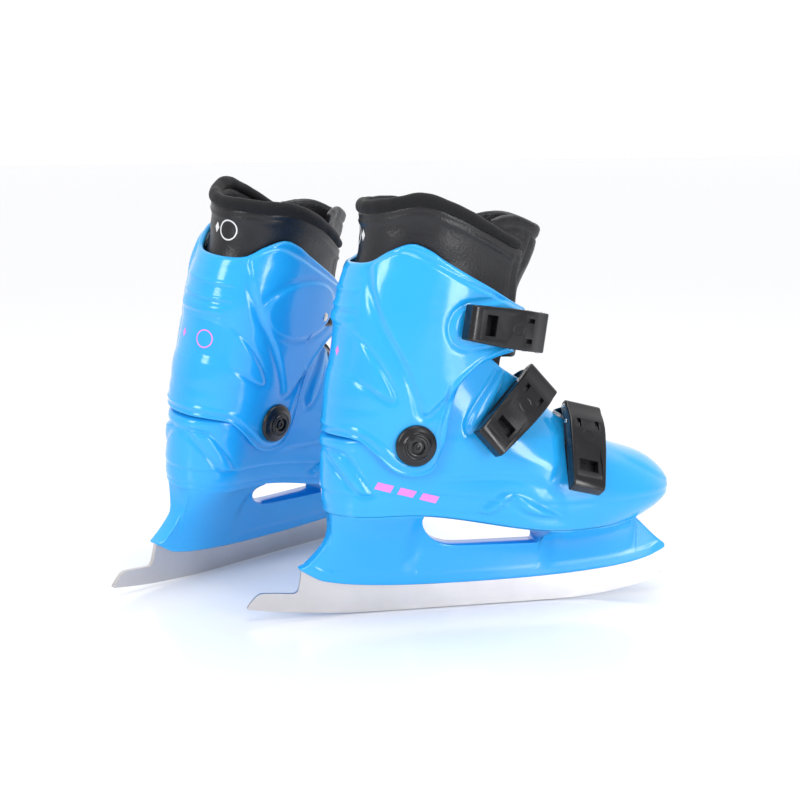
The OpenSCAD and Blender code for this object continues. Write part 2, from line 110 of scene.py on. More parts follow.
# the boot's surfaces, as in the CAD source
bootTable = [
    [73, 55, 279, 28, 38, 34, 60], [80, 52.5, 297, 31, 42, 36, 66],
    [88, 52, 305, 32, 44, 38, 72], [99, 52, 300, 32.5, 44, 40, 78],
    [110, 52.2, 283, 33, 43, 42, 84], [118, 52.4, 256, 34, 42, 44, 84],
    [126.5, 52.7, 238, 34.6, 40.2, 46, 80], [129.6, 58.6, 229, 34.6, 39.4, 48, 78],
    [134, 58.8, 219, 34.5, 39, 48, 75], [147, 59.5, 205, 35, 37.5, 50, 75],
    [163, 61, 193, 35.5, 36.5, 52, 72], [186, 64, 183, 36, 36, 54, 68],
]
cuffTable = [
    [100, 50, 216, 39.5, 44, 46, 80], [120, 51, 214, 40, 44, 48, 80],
    [132, 53.2, 212, 41, 43.5, 50, 80], [154, 54.7, 206, 42.5, 43.5, 52, 80],
    [176, 58, 200, 43.5, 43.5, 54, 78], [197, 61, 199, 44, 43.5, 55, 76],
    [213, 62, 200, 44, 43, 56, 76], [233, 66.5, 203, 43.5, 42.5, 56, 76],
    [246, 72, 206, 43, 42, 56, 76], [262, 76, 208, 43, 42, 56, 76],
]
shaftTable = [
    [140, 66, 178, 31, 31.5, 50, 66], [176, 66.5, 183, 34, 33.5, 52, 68],
    [190, 67, 189, 37, 36.5, 52, 70], [201, 67.2, 192.5, 38.4, 37.6, 53, 74],
    [213, 67.4, 193, 38.6, 37.5, 53, 74], [233, 71.5, 194.5, 38.2, 37, 53, 74],
    [246, 77, 197, 38, 37, 53, 74], [260, 79, 200, 39.5, 38, 52, 72],
    [292, 81, 203, 41, 39, 52, 72],
]
cuffLow = [
    [48, 129.6], [62, 129.2], [72, 127], [83, 118.6], [93, 108.6], [101, 104.2],
    [109, 102.8], [117, 104.2], [123, 109], [128, 121], [132, 140], [141, 161], [150, 170],
    [160, 176.5], [181, 182], [215, 184],
]
cuffTop = [
    [60, 244], [76, 246], [86, 253.5], [99, 258.5], [112, 254.5], [125, 247],
    [160, 230], [190, 214], [215, 204],
]
shaftTop = [
    [70, 276], [90, 280], [112, 284], [135, 277], [160, 265], [180, 255], [195, 250], [215, 246],
]
shellTop = [
    [50, 138], [105, 138], [122, 146], [134, 158], [142, 168], [150, 175],
    [160, 180], [176, 181], [186, 172], [215, 150],
]
holdLow = [
    [36, 34], [54, 25], [95, 19.8], [156, 18.3], [219, 19.4], [262, 22.8], [285, 27.2], [302, 33.5],
]
heelCurve = [[36, 34.4], [41, 36.4], [46, 40.8], [52, 47.6], [56, 54], [58.2, 61]]
windowRear = [
    [118, 70], [121, 62], [126, 54.5], [132, 49.6], [140, 46.6], [150, 45.6], [203.5, 44.4],
]
windowFront = [[203.5, 44.4], [205.4, 46.6], [206, 50.5]]
toeCurve = [[279, 57.4], [283, 53.5], [290, 46.5], [296, 41], [300, 38], [302, 36.2]]


def fair(table, x, k=1):
    t = np.asarray(table, float)
    x = np.asarray(x, float)
    at, val = t[:, 0], t[:, k]
    d = np.empty(len(at))
    d[1:-1] = (val[2:] - val[:-2]) / (at[2:] - at[:-2])
    d[0] = (val[1] - val[0]) / (at[1] - at[0])
    d[-1] = (val[-1] - val[-2]) / (at[-1] - at[-2])
    i = np.clip(np.searchsorted(at, x, side="right") - 1, 0, len(at) - 2)
    h = at[i + 1] - at[i]
    s = np.clip((x - at[i]) / h, 0, 1)
    s2, s3 = s * s, s * s * s
    return (
        (2 * s3 - 3 * s2 + 1) * val[i]
        + (s3 - 2 * s2 + s) * h * d[i]
        + (3 * s2 - 2 * s3) * val[i + 1]
        + (s3 - s2) * h * d[i + 1]
    )


def smooth(a):
    t = np.clip(a, 0, 1)
    return t * t * (3 - 2 * t)


def soleDrop(x):
    return 15.5 * smooth((x - 105) / 120)


def soleAt(x):
    return 73 - soleDrop(x)


def surf(table, z, u, off=0.0, foot=True):
    z, u, off = np.broadcast_arrays(
        np.asarray(z, float), np.asarray(u, float), np.asarray(off, float)
    )
    xr, xf = fair(table, z, 1) - off, fair(table, z, 2) + off
    span = xf - xr
    f = (1 - np.cos(np.pi * np.abs(u))) / 2
    x = xr + span * f
    ar, af = fair(table, z, 5) / span, fair(table, z, 6) / span
    rear = np.where(f < ar, np.sqrt(np.clip(1 - ((ar - f) / ar) ** 2, 0, 1)), 1)
    front = np.where(f > 1 - af, np.sqrt(np.clip(1 - ((f - 1 + af) / af) ** 2, 0, 1)), 1)
    w0, w1 = fair(table, z, 3), fair(table, z, 4)
    half = w0 + (w1 - w0) * smooth((x - 90) / 120) + off
    k = np.clip((135 - z) / 62, 0, 1) if foot else np.zeros_like(z)
    y = half * rear * front * np.sign(u) + 7 * smooth((x - 150) / 150) * k
    return np.stack([x, y, z - k * soleDrop(x)], -1)


# building meshes
def makeMesh(name, points, faces, side, material):
    verts = toRow(np.asarray(points).reshape(-1, 3), side)
    if side == "L":
        faces = [tuple(reversed(f)) for f in faces]
    mesh = bpy.data.meshes.new(name)
    mesh.from_pydata(verts.tolist(), [], [tuple(int(i) for i in f) for f in faces])
    mesh.polygons.foreach_set("use_smooth", [True] * len(mesh.polygons))
    flat = np.asarray(points, float).reshape(-1, 3) * 0.001
    uv = mesh.uv_layers.new(name="skateMap")
    loops = np.empty(len(mesh.loops), int)
    mesh.loops.foreach_get("vertex_index", loops)
    uv.data.foreach_set("uv", flat[loops][:, [0, 2]].astype(np.float32).ravel())
    mesh.materials.append(material)
    mesh.update()
    obj = bpy.data.objects.new(name, mesh)
    scene.collection.objects.link(obj)
    return obj


def gridFaces(n, m, closedN=False, closedM=False):
    i = np.arange(n if closedN else n - 1)
    j = np.arange(m if closedM else m - 1)
    a, b = np.meshgrid(i, j, indexing="ij")
    a2, b2 = (a + 1) % n, (b + 1) % m
    quads = np.stack([a * m + b, a2 * m + b, a2 * m + b2, a * m + b2], -1)
    return quads.reshape(-1, 4).tolist()


def outward(points, closedN=False):
    du = np.gradient(points, axis=0)
    if closedN:
        du = (np.roll(points, -1, 0) - np.roll(points, 1, 0)) / 2
    dv = np.gradient(points, axis=1)
    n = np.cross(du, dv)
    size = np.linalg.norm(n, axis=-1, keepdims=True)
    return n / np.maximum(size, 1e-9)


def wallLoop(rows, thick, rim=6):
    # one closed section of a wall: outer face up, rounded top, inner face down, rounded foot
    loop = [(v, 0, 1) for v in np.linspace(0, 1, rows)]
    loop += [
        (1, math.sin(a) * thick / 2, math.cos(a))
        for a in np.linspace(0, math.pi, rim + 1)[1:-1]
    ]
    loop += [(v, 0, -1) for v in np.linspace(1, 0, max(rows // 2, 8))]
    loop += [
        (0, -math.sin(a) * thick / 2, -math.cos(a))
        for a in np.linspace(0, math.pi, rim + 1)[1:-1]
    ]
    return np.array(loop)


def wallGrid(table, us, ends, lowAt, topAt, offOut, thick, rows, foot):
    # columns along u; ends scales the wall's thickness so its free edges close round
    loop = wallLoop(rows, thick)
    low, top = lowAt(us) + thick / 2, topAt(us) - thick / 2
    z = low[:, None] + (top - low)[:, None] * loop[None, :, 0] + loop[None, :, 1] * ends[:, None]
    off = offOut - thick / 2 + loop[None, :, 2] * thick / 2 * ends[:, None]
    points = surf(table, z, np.broadcast_to(us[:, None], z.shape), off, foot)
    return points, loop, rows


def placed(obj, body, nodes):
    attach(obj, body)
    if nodes:
        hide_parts(*nodes)
    return obj


# relief drawn on the side of the boot, in skate x and z
def curveThrough(points, per=10, closed=False):
    p = np.asarray(points, float)
    n = len(p)
    out = []
    last = n if closed else n - 1
    for i in range(last):
        p0, p1 = (p[(i - 1) % n] if closed or i > 0 else p[i]), p[i]
        p2 = p[(i + 1) % n]
        p3 = p[(i + 2) % n] if closed or i + 2 < n else p2
        for t in np.linspace(0, 1, per, endpoint=False):
            out.append(
                0.5 * (2 * p1 + (p2 - p0) * t + (2 * p0 - 5 * p1 + 4 * p2 - p3) * t * t
                       + (3 * p1 - p0 - 3 * p2 + p3) * t ** 3)
            )
    if not closed:
        out.append(p[-1])
    return np.array(out)


def pathDistance(x, z, path):
    best = np.full(x.shape, 1e9)
    sideOf = np.zeros(x.shape)
    for a, b in zip(path[:-1], path[1:]):
        d = b - a
        length = max(float(d @ d), 1e-9)
        t = np.clip(((x - a[0]) * d[0] + (z - a[1]) * d[1]) / length, 0, 1)
        dx, dz = x - a[0] - t * d[0], z - a[1] - t * d[1]
        dist = np.hypot(dx, dz)
        near = dist < best
        best = np.where(near, dist, best)
        sideOf = np.where(near, d[0] * dz - d[1] * dx, sideOf)
    return best, np.sign(sideOf)


def insideDepth(x, z, corners, per=8):
    ring = curveThrough(corners, per, closed=True)
    ring = np.vstack([ring, ring[:1]])
    dist, _ = pathDistance(x, z, ring)
    inside = np.zeros(x.shape, bool)
    for a, b in zip(ring[:-1], ring[1:]):
        cross = (a[1] > z) != (b[1] > z)
        with np.errstate(divide="ignore", invalid="ignore"):
            xi = a[0] + (z - a[1]) / (b[1] - a[1]) * (b[0] - a[0])
        inside ^= cross & (x < xi)
    return np.where(inside, dist, -dist)


def bead(dist, width):
    return np.exp(-((dist / width) ** 2))


def pocket(x, z, corners, depth, slope, rim=0.0):
    d = insideDepth(x, z, corners)
    return -depth * smooth(d / slope) + rim * bead(d + slope * 0.35, slope * 0.7)


# materials
def newMaterial(name, base, rough, **sockets):
    mat = bpy.data.materials.new(name)
    mat.use_nodes = True
    shader = mat.node_tree.nodes["Principled BSDF"]
    shader.inputs["Base Color"].default_value = (*base, 1)
    shader.inputs["Roughness"].default_value = rough
    for key, value in sockets.items():
        shader.inputs[key.replace("_", " ")].default_value = value
    mat.diffuse_color = (*base, 1)
    return mat, mat.node_tree, shader


def addNode(tree, kind, at, **settings):
    node = tree.nodes.new(kind)
    node.location = at
    for key, value in settings.items():
        if hasattr(node, key):
            setattr(node, key, value)
        else:
            node.inputs[key.replace("_", " ")].default_value = value
    return node


def colourRamp(tree, at, stops):
    ramp = addNode(tree, "ShaderNodeValToRGB", at)
    ramp.color_ramp.elements[0].position, ramp.color_ramp.elements[0].color = stops[0]
    ramp.color_ramp.elements[1].position, ramp.color_ramp.elements[1].color = stops[-1]
    for pos, colour in stops[1:-1]:
        ramp.color_ramp.elements.new(pos).color = colour
    return ramp


def grey(v):
    return (v, v, v, 1)


def mixColours(tree, at, a, b):
    node = addNode(tree, "ShaderNodeMix", at, data_type="RGBA")
    node.inputs[6].default_value = (*a, 1)
    node.inputs[7].default_value = (*b, 1)
    return node


plasticLook = {
    "blue": (0.022, 0.425, 0.90),
    "blueDeep": (0.014, 0.365, 0.87),
    "gloss": 0.16,
    "waveSize": 26.0,
    "waveDepth": 0.02,
    "speckSize": 900.0,
    "scratchSize": 55.0,
}


def shellPlastic(name, look):
    mat, tree, shader = newMaterial(
        name, look["blue"], look["gloss"], Coat_Weight=0.35, Coat_Roughness=0.06, IOR=1.48
    )
    where = addNode(tree, "ShaderNodeTexCoord", (-1200, 0))
    cloud = addNode(tree, "ShaderNodeTexNoise", (-900, 260), Scale=14.0, Detail=2.0)
    tint = mixColours(tree, (-300, 260), look["blueDeep"], look["blue"])
    wave = addNode(tree, "ShaderNodeTexNoise", (-900, -260), Scale=look["waveSize"], Detail=1.0)
    speck = addNode(tree, "ShaderNodeTexNoise", (-900, -480), Scale=look["speckSize"], Detail=2.0)
    waveBump = addNode(
        tree, "ShaderNodeBump", (-500, -260), Strength=look["waveDepth"], Distance=0.01
    )
    speckBump = addNode(tree, "ShaderNodeBump", (-260, -360), Strength=0.03, Distance=0.0004)
    stretch = addNode(tree, "ShaderNodeMapping", (-1100, 560))
    stretch.inputs["Scale"].default_value = (1.0, 9.0, 5.0)
    stretch.inputs["Rotation"].default_value = (0.3, 0.5, 0.2)
    scratch = addNode(
        tree, "ShaderNodeTexNoise", (-900, 560), Scale=look["scratchSize"], Detail=6.0
    )
    rub = colourRamp(
        tree, (-600, 560), [(0.5, grey(look["gloss"])), (0.8, grey(look["gloss"] + 0.12))]
    )
    link = tree.links.new
    for node in (cloud, wave, speck):
        link(where.outputs["Object"], node.inputs["Vector"])
    link(where.outputs["Object"], stretch.inputs["Vector"])
    link(stretch.outputs["Vector"], scratch.inputs["Vector"])
    link(scratch.outputs["Fac"], rub.inputs["Fac"])
    link(rub.outputs["Color"], shader.inputs["Roughness"])
    link(cloud.outputs["Fac"], tint.inputs[0])
    link(tint.outputs[2], shader.inputs["Base Color"])
    link(wave.outputs["Fac"], waveBump.inputs["Height"])
    link(speck.outputs["Fac"], speckBump.inputs["Height"])
    link(waveBump.outputs["Normal"], speckBump.inputs["Normal"])
    link(speckBump.outputs["Normal"], shader.inputs["Normal"])
    return mat


buckleLook = {"black": (0.006, 0.006, 0.008), "gloss": 0.2, "grainSize": 1400.0}


def bucklePlastic(name, look):
    mat, tree, shader = newMaterial(
        name, look["black"], look["gloss"], Specular_IOR_Level=0.5, IOR=1.5
    )
    where = addNode(tree, "ShaderNodeTexCoord", (-1000, 0))
    grain = addNode(tree, "ShaderNodeTexNoise", (-700, -260), Scale=look["grainSize"], Detail=3.0)
    bump = addNode(tree, "ShaderNodeBump", (-300, -260), Strength=0.12, Distance=0.0003)
    handled = addNode(tree, "ShaderNodeTexNoise", (-700, 200), Scale=70.0, Detail=5.0)
    rub = colourRamp(
        tree, (-400, 200), [(0.35, grey(look["gloss"] - 0.04)), (0.75, grey(look["gloss"] + 0.16))]
    )
    link = tree.links.new
    link(where.outputs["Object"], grain.inputs["Vector"])
    link(where.outputs["Object"], handled.inputs["Vector"])
    link(grain.outputs["Fac"], bump.inputs["Height"])
    link(bump.outputs["Normal"], shader.inputs["Normal"])
    link(handled.outputs["Fac"], rub.inputs["Fac"])
    link(rub.outputs["Color"], shader.inputs["Roughness"])
    return mat


leatherLook = {
    "black": (0.008, 0.008, 0.010),
    "worn": (0.018, 0.018, 0.022),
    "rough": 0.34,
    "grainSize": 620.0,
    "creaseSize": 46.0,
}


def syntheticLeather(name, look):
    mat, tree, shader = newMaterial(
        name, look["black"], look["rough"], Specular_IOR_Level=0.4
    )
    where = addNode(tree, "ShaderNodeTexCoord", (-1200, 0))
    cells = addNode(tree, "ShaderNodeTexVoronoi", (-900, -200), feature="F1")
    cells.inputs["Scale"].default_value = look["grainSize"]
    cells.inputs["Randomness"].default_value = 1.0
    fine = addNode(
        tree, "ShaderNodeTexNoise", (-900, -460), Scale=look["grainSize"] * 2.2, Detail=3.0
    )
    crease = addNode(
        tree, "ShaderNodeTexNoise", (-900, 120), Scale=look["creaseSize"], Detail=4.0, Distortion=0.6
    )
    tint = mixColours(tree, (-300, 200), look["black"], look["worn"])
    gloss = colourRamp(
        tree, (-600, 360), [(0.3, grey(look["rough"] - 0.06)), (0.75, grey(look["rough"] + 0.12))]
    )
    creaseBump = addNode(tree, "ShaderNodeBump", (-560, -60), Strength=0.22, Distance=0.0016)
    cellBump = addNode(tree, "ShaderNodeBump", (-380, -200), Strength=0.35, Distance=0.00035)
    fineBump = addNode(tree, "ShaderNodeBump", (-200, -340), Strength=0.18, Distance=0.0002)
    link = tree.links.new
    for node in (cells, fine, crease):
        link(where.outputs["Object"], node.inputs["Vector"])
    link(crease.outputs["Fac"], tint.inputs[0])
    link(crease.outputs["Fac"], gloss.inputs["Fac"])
    link(gloss.outputs["Color"], shader.inputs["Roughness"])
    link(tint.outputs[2], shader.inputs["Base Color"])
    link(crease.outputs["Fac"], creaseBump.inputs["Height"])
    link(cells.outputs["Distance"], cellBump.inputs["Height"])
    link(fine.outputs["Fac"], fineBump.inputs["Height"])
    link(creaseBump.outputs["Normal"], cellBump.inputs["Normal"])
    link(cellBump.outputs["Normal"], fineBump.inputs["Normal"])
    link(fineBump.outputs["Normal"], shader.inputs["Normal"])
    return mat


knitLook = {
    "black": (0.006, 0.006, 0.007),
    "fluff": (0.017, 0.017, 0.020),
    "rough": 0.85,
    "threadSize": 950.0,
}


def softKnit(name, look):
    mat, tree, shader = newMaterial(
        name, look["black"], look["rough"], Specular_IOR_Level=0.25, Sheen_Weight=0.12, Sheen_Roughness=0.4
    )
    where = addNode(tree, "ShaderNodeTexCoord", (-1200, 0))
    rows = addNode(tree, "ShaderNodeTexWave", (-900, -100), wave_type="BANDS", Scale=430.0)
    rows.inputs["Distortion"].default_value = 2.5
    rows.inputs["Detail"].default_value = 2.0
    threads = addNode(
        tree, "ShaderNodeTexNoise", (-900, -400), Scale=look["threadSize"], Detail=4.0
    )
    tint = mixColours(tree, (-300, 200), look["black"], look["fluff"])
    rowBump = addNode(tree, "ShaderNodeBump", (-500, -100), Strength=0.35, Distance=0.0005)
    threadBump = addNode(tree, "ShaderNodeBump", (-260, -300), Strength=0.4, Distance=0.0004)
    link = tree.links.new
    link(where.outputs["Object"], rows.inputs["Vector"])
    link(where.outputs["Object"], threads.inputs["Vector"])
    link(threads.outputs["Fac"], tint.inputs[0])
    link(tint.outputs[2], shader.inputs["Base Color"])
    link(rows.outputs["Fac"], rowBump.inputs["Height"])
    link(threads.outputs["Fac"], threadBump.inputs["Height"])
    link(rowBump.outputs["Normal"], threadBump.inputs["Normal"])
    link(threadBump.outputs["Normal"], shader.inputs["Normal"])
    return mat


steelLook = {
    "light": (0.66, 0.635, 0.63),
    "dark": (0.47, 0.455, 0.455),
    "rough": 0.36,
    "grainAlong": 9.0,
    "grainAcross": 1500.0,
}


def brushedSteel(name, look):
    mat, tree, shader = newMaterial(name, look["light"], look["rough"], Metallic=1.0)
    where = addNode(tree, "ShaderNodeUVMap", (-1300, 0), uv_map="skateMap")
    stretch = addNode(tree, "ShaderNodeMapping", (-1100, 0))
    stretch.inputs["Scale"].default_value = (look["grainAlong"], look["grainAcross"], 1)
    grain = addNode(tree, "ShaderNodeTexNoise", (-850, 0), Scale=1.0, Detail=6.0, Roughness=0.7)
    blotch = addNode(tree, "ShaderNodeTexNoise", (-850, 300), Scale=24.0, Detail=3.0)
    tint = mixColours(tree, (-300, 200), look["dark"], look["light"])
    both = addNode(tree, "ShaderNodeMath", (-560, 200), operation="MULTIPLY_ADD")
    both.inputs[1].default_value = 0.55
    gloss = colourRamp(
        tree, (-560, -60), [(0.25, grey(look["rough"] - 0.07)), (0.75, grey(look["rough"] + 0.1))]
    )
    bump = addNode(tree, "ShaderNodeBump", (-300, -300), Strength=0.16, Distance=0.0002)
    link = tree.links.new
    link(where.outputs["UV"], stretch.inputs["Vector"])
    link(stretch.outputs["Vector"], grain.inputs["Vector"])
    link(where.outputs["UV"], blotch.inputs["Vector"])
    link(grain.outputs["Fac"], both.inputs[0])
    link(blotch.outputs["Fac"], both.inputs[2])
    link(both.outputs[0], tint.inputs[0])
    link(tint.outputs[2], shader.inputs["Base Color"])
    link(grain.outputs["Fac"], gloss.inputs["Fac"])
    link(gloss.outputs["Color"], shader.inputs["Roughness"])
    link(grain.outputs["Fac"], bump.inputs["Height"])
    link(bump.outputs["Normal"], shader.inputs["Normal"])
    return mat


def platedSteel(name, colour):
    mat, tree, shader = newMaterial(name, colour, 0.24, Metallic=1.0)
    where = addNode(tree, "ShaderNodeTexCoord", (-900, 0))
    marks = addNode(tree, "ShaderNodeTexNoise", (-650, 0), Scale=500.0, Detail=4.0)
    gloss = colourRamp(tree, (-400, 0), [(0.3, grey(0.16)), (0.8, grey(0.4))])
    bump = addNode(tree, "ShaderNodeBump", (-300, -240), Strength=0.1, Distance=0.0002)
    link = tree.links.new
    link(where.outputs["Object"], marks.inputs["Vector"])
    link(marks.outputs["Fac"], gloss.inputs["Fac"])
    link(gloss.outputs["Color"], shader.inputs["Roughness"])
    link(marks.outputs["Fac"], bump.inputs["Height"])
    link(bump.outputs["Normal"], shader.inputs["Normal"])
    return mat


def plainPrint(name, colour):
    mat, tree, shader = newMaterial(name, colour, 0.4)
    where = addNode(tree, "ShaderNodeTexCoord", (-700, 0))
    wear = addNode(tree, "ShaderNodeTexNoise", (-500, 0), Scale=900.0, Detail=2.0)
    gloss = colourRamp(tree, (-300, 0), [(0.3, grey(0.32)), (0.8, grey(0.5))])
    tree.links.new(where.outputs["Object"], wear.inputs["Vector"])
    tree.links.new(wear.outputs["Fac"], gloss.inputs["Fac"])
    tree.links.new(gloss.outputs["Color"], shader.inputs["Roughness"])
    return mat


finish = {
    "shell": shellPlastic("azurePlastic", plasticLook),
    "buckle": bucklePlastic("blackPlastic", buckleLook),
    "leather": syntheticLeather("linerLeather", leatherLook),
    "knit": softKnit("collarKnit", knitLook),
    "steel": brushedSteel("bladeSteel", steelLook),
    "plated": platedSteel("platedSteel", (0.62, 0.61, 0.60)),
    "darkSteel": platedSteel("darkSteel", (0.05, 0.05, 0.055)),
    "pink": plainPrint("pinkPrint", (0.80, 0.25, 0.72)),
    "white": plainPrint("whitePrint", (0.75, 0.75, 0.76)),
}
finish["footbed"] = softKnit(
    "footbedCloth", dict(knitLook, black=(0.05, 0.05, 0.055), fluff=(0.09, 0.09, 0.1))
)
print("materials ready:", len(finish))


# the lower shell
shellShape = {
    "around": 260,
    "rows": 120,
    "wall": 4.0,
    "soleBand": 0.9,
    "heelDrop": [
        (53, 118.5), (58, 119), (64, 117), (71, 108), (79, 96),
        (82, 90.5), (77, 88.5), (70, 92), (62, 102), (56, 111),
    ],
    "leaf": [
        (156, 75.5), (157.5, 72.8), (163, 74), (170, 79), (175, 86),
        (174.6, 89.3), (170.5, 88.6), (164, 84), (158.5, 79.5),
    ],
    "fin": [
        (176, 88.6), (178.5, 82), (183, 76), (190, 72), (200, 69.6),
        (213, 69), (204, 74), (194, 80), (185, 85.5),
    ],
    "sweep": [
        (120, 99.5), (137.6, 100.5), (165.3, 101), (182, 99.5),
        (195.6, 95.3), (205, 89), (212.2, 80.4), (216, 73),
    ],
    "vampRidge": [(203, 92), (207, 100), (212, 112), (214, 122), (213, 131)],
    "midOblong": [
        (146, 137), (147, 131), (153, 134), (163, 146), (172, 160),
        (176, 170), (171, 171), (161, 160), (151, 147),
    ],
    "toeStep": [(248, 113.5), (262, 107), (276, 99.5), (288, 92.5), (297, 87)],
}


def shellRelief(x, z, y, height):
    s = shellShape
    out = -0.9 * s["soleBand"] * smooth((height - 87.5) / 2.2) + s["soleBand"]
    out += 0.35 * bead(height - 89.0, 1.3)
    d = insideDepth(x, z, s["heelDrop"])
    out += 1.0 * bead(d, 1.5) - 1.3 * smooth((d - 0.6) / 3.0)
    out += pocket(x, z, s["leaf"], 1.9, 2.0, 0.5)
    out += pocket(x, z, s["fin"], 2.0, 2.8, 0.5)
    dist, sideOf = pathDistance(x, z, curveThrough(s["sweep"]))
    fade = smooth((x - 118) / 26) * (1 - smooth((x - 206) / 14))
    out += fade * (1.9 * smooth(0.5 - dist * sideOf / 6.0) * np.exp(-np.clip(-dist * sideOf, 0, 99) / 16))
    dist, sideOf = pathDistance(x, z, curveThrough(s["vampRidge"]))
    out += 0.9 * bead(dist, 2.4) * np.where(y < 0, 1, 0.6)
    d = insideDepth(x, z, s["midOblong"])
    out += -1.9 * smooth(d / 2.8) + 0.8 * bead(d + 1.0, 1.8)
    dist, sideOf = pathDistance(x, z, curveThrough(s["toeStep"]))
    fade = smooth((x - 246) / 22)
    out += fade * 1.1 * smooth(0.5 - dist * sideOf / 4.0) * np.exp(-np.clip(-dist * sideOf, 0, 99) / 10)
    return out


def makeShell(side):
    s = shellShape
    us = -1 + 2 * np.arange(s["around"]) / s["around"]
    topAt = lambda u: fair(shellTop, surf(bootTable, 150, u, 0, False)[..., 0])
    lowAt = lambda u: np.full_like(u, 73.0)
    points, loop, rows = wallGrid(
        bootTable, us, np.ones_like(us), lowAt, topAt, 0.0, s["wall"], s["rows"], True
    )
    outer = points[:, :rows]
    height = 73 + (topAt(us)[:, None] - 73) * loop[None, :rows, 0]
    lift = shellRelief(outer[..., 0], outer[..., 2], outer[..., 1], height)
    lift *= smooth(loop[None, :rows, 0] / 0.05) * smooth((1 - loop[None, :rows, 0]) / 0.05)
    points[:, :rows] = outer + outward(outer, True) * lift[..., None]
    n, m = points.shape[:2]
    faces = gridFaces(n, m, True, True)
    flat = points.reshape(-1, 3)
    base = len(flat)
    inner = rows + 5 + max(rows // 2, 8) - 1
    floors = []
    for row in (m - 1, inner):
        ring = flat[[i * m + row for i in range(n)]]
        mid = ring.copy()
        mid[:, 1] = 7 * smooth((ring[:, 0] - 150) / 150)
        floors.append((row, mid))
    extra = []
    for row, mid in floors:
        start = base + len(extra)
        extra.extend(mid.tolist())
        for i in range(n):
            k = (i + 1) % n
            quad = (i * m + row, k * m + row, start + k, start + i)
            faces.append(quad if row != m - 1 else tuple(reversed(quad)))
    flat = np.vstack([flat, np.array(extra)])
    obj = makeMesh("lowerShell" + side, flat, faces, side, finish["shell"])
    clean(obj)
    return placed(obj, bodyOf["boot", side], ["shell" + sideTail[side]])


def clean(obj, merge=0.00002):
    b = bmesh.new()
    b.from_mesh(obj.data)
    bmesh.ops.remove_doubles(b, verts=b.verts, dist=merge)
    bmesh.ops.dissolve_degenerate(b, edges=b.edges, dist=0.000005)
    bmesh.ops.recalc_face_normals(b, faces=b.faces)
    b.to_mesh(obj.data)
    b.free()
    obj.data.update()


# the cuff
cuffShape = {
    "around": 280,
    "rows": 150,
    "wall": 3.5,
    "panel": [
        (84, 249), (81.5, 236), (82.4, 224), (88.4, 203.7), (100.9, 178.7), (109.5, 156), (112.5, 146),
        (118, 145), (128, 154), (140, 164), (152, 172), (166, 178), (182, 184), (200, 186),
        (210, 205), (190, 211), (166, 223), (140, 236), (118, 248), (100, 255),
    ],
    "drop": [
        (48, 204), (60, 203), (69, 199), (78, 190), (86, 178), (92.5, 166), (95.5, 157.5),
        (92, 154.5), (85, 158), (76, 164.5), (66, 170), (56, 173), (48, 174),
    ],
    "pocketMid": (146.0, 204.0),
    "pocketRadius": 14.5,
    "oval": (126.0, 208.0, 36.0, 21.0),
    "rim": 5.5,
}


def cuffRelief(x, z, y, fromLow):
    s = cuffShape
    outerSide = smooth(0.5 - y / 8)
    out = 0.7 * bead(fromLow - 2.4, 2.6) - 0.9 * bead(fromLow - s["rim"] - 1.0, 1.4)
    d = insideDepth(x, z, s["panel"])
    out += -2.0 * smooth(d / 3.6) + 0.7 * bead(d + 1.4, 2.4)
    d = insideDepth(x, z, s["drop"])
    nearTip = smooth((x - 66) / 18)
    out += (0.5 + 0.4 * nearTip) * bead(d, 1.8) + (0.9 - 1.9 * nearTip) * smooth(d / 3.2)
    # steps and the dip up the middle of the back
    back = smooth((26 - np.abs(y)) / 7) * smooth((92 - x) / 14)
    out += back * (
        -1.6 * smooth((z - 203) / 4) * (1 - smooth((z - 209) / 4))
        - 0.9 * bead(z - 216, 1.5) - 0.9 * bead(z - 227, 1.5)
        + 0.8 * smooth((z - 204) / 4) * (1 - smooth((z - 236) / 5))
    )
    edge = bead(np.abs(y) - 24, 3.0) * smooth((92 - x) / 12)
    out += 0.5 * edge * smooth((z - 168) / 12) * (1 - smooth((z - 238) / 6))
    # the band at the foot of the back
    out += 0.8 * smooth((96 - x) / 20) * bead(z - 150, 5.0) * 0.6
    # the recess round the top buckle, open to the front
    px, pz = s["pocketMid"]
    dx, dz = np.maximum(px - x, 0), z - pz - 0.06 * (x - px)
    d = s["pocketRadius"] - np.hypot(dx, dz)
    out += outerSide * (-0.9 * smooth(d / 2.4) + 0.8 * bead(d + 1.4, 2.0))
    # the oval strap pad on the inner side
    cx, cz, rx, rz = s["oval"]
    e = (1 - np.sqrt(((x - cx) / rx) ** 2 + ((z - cz) / rz) ** 2)) * rz
    out += (1 - outerSide) * (-1.0 * smooth(e / 2.4) + 0.6 * bead(e + 1.4, 2.0))
    return out


def endColumns(u0, u1, count, roundU, steps=5):
    # columns from u0 to u1 with a few more at each end that close the wall round
    middle = np.linspace(u0, u1, count)
    angles = np.linspace(0, math.pi / 2, steps + 1)[1:]
    before = [(u0 - roundU * math.sin(a), max(math.cos(a), 0.02)) for a in angles[::-1]]
    after = [(u1 + roundU * math.sin(a), max(math.cos(a), 0.02)) for a in angles]
    us = np.array([p[0] for p in before] + middle.tolist() + [p[0] for p in after])
    ends = np.array([p[1] for p in before] + [1.0] * count + [p[1] for p in after])
    return us, ends


def capEnds(faces, n, m):
    for i in (0, n - 1):
        ring = [i * m + j for j in range(m)]
        faces.append(tuple(ring if i else ring[::-1]))


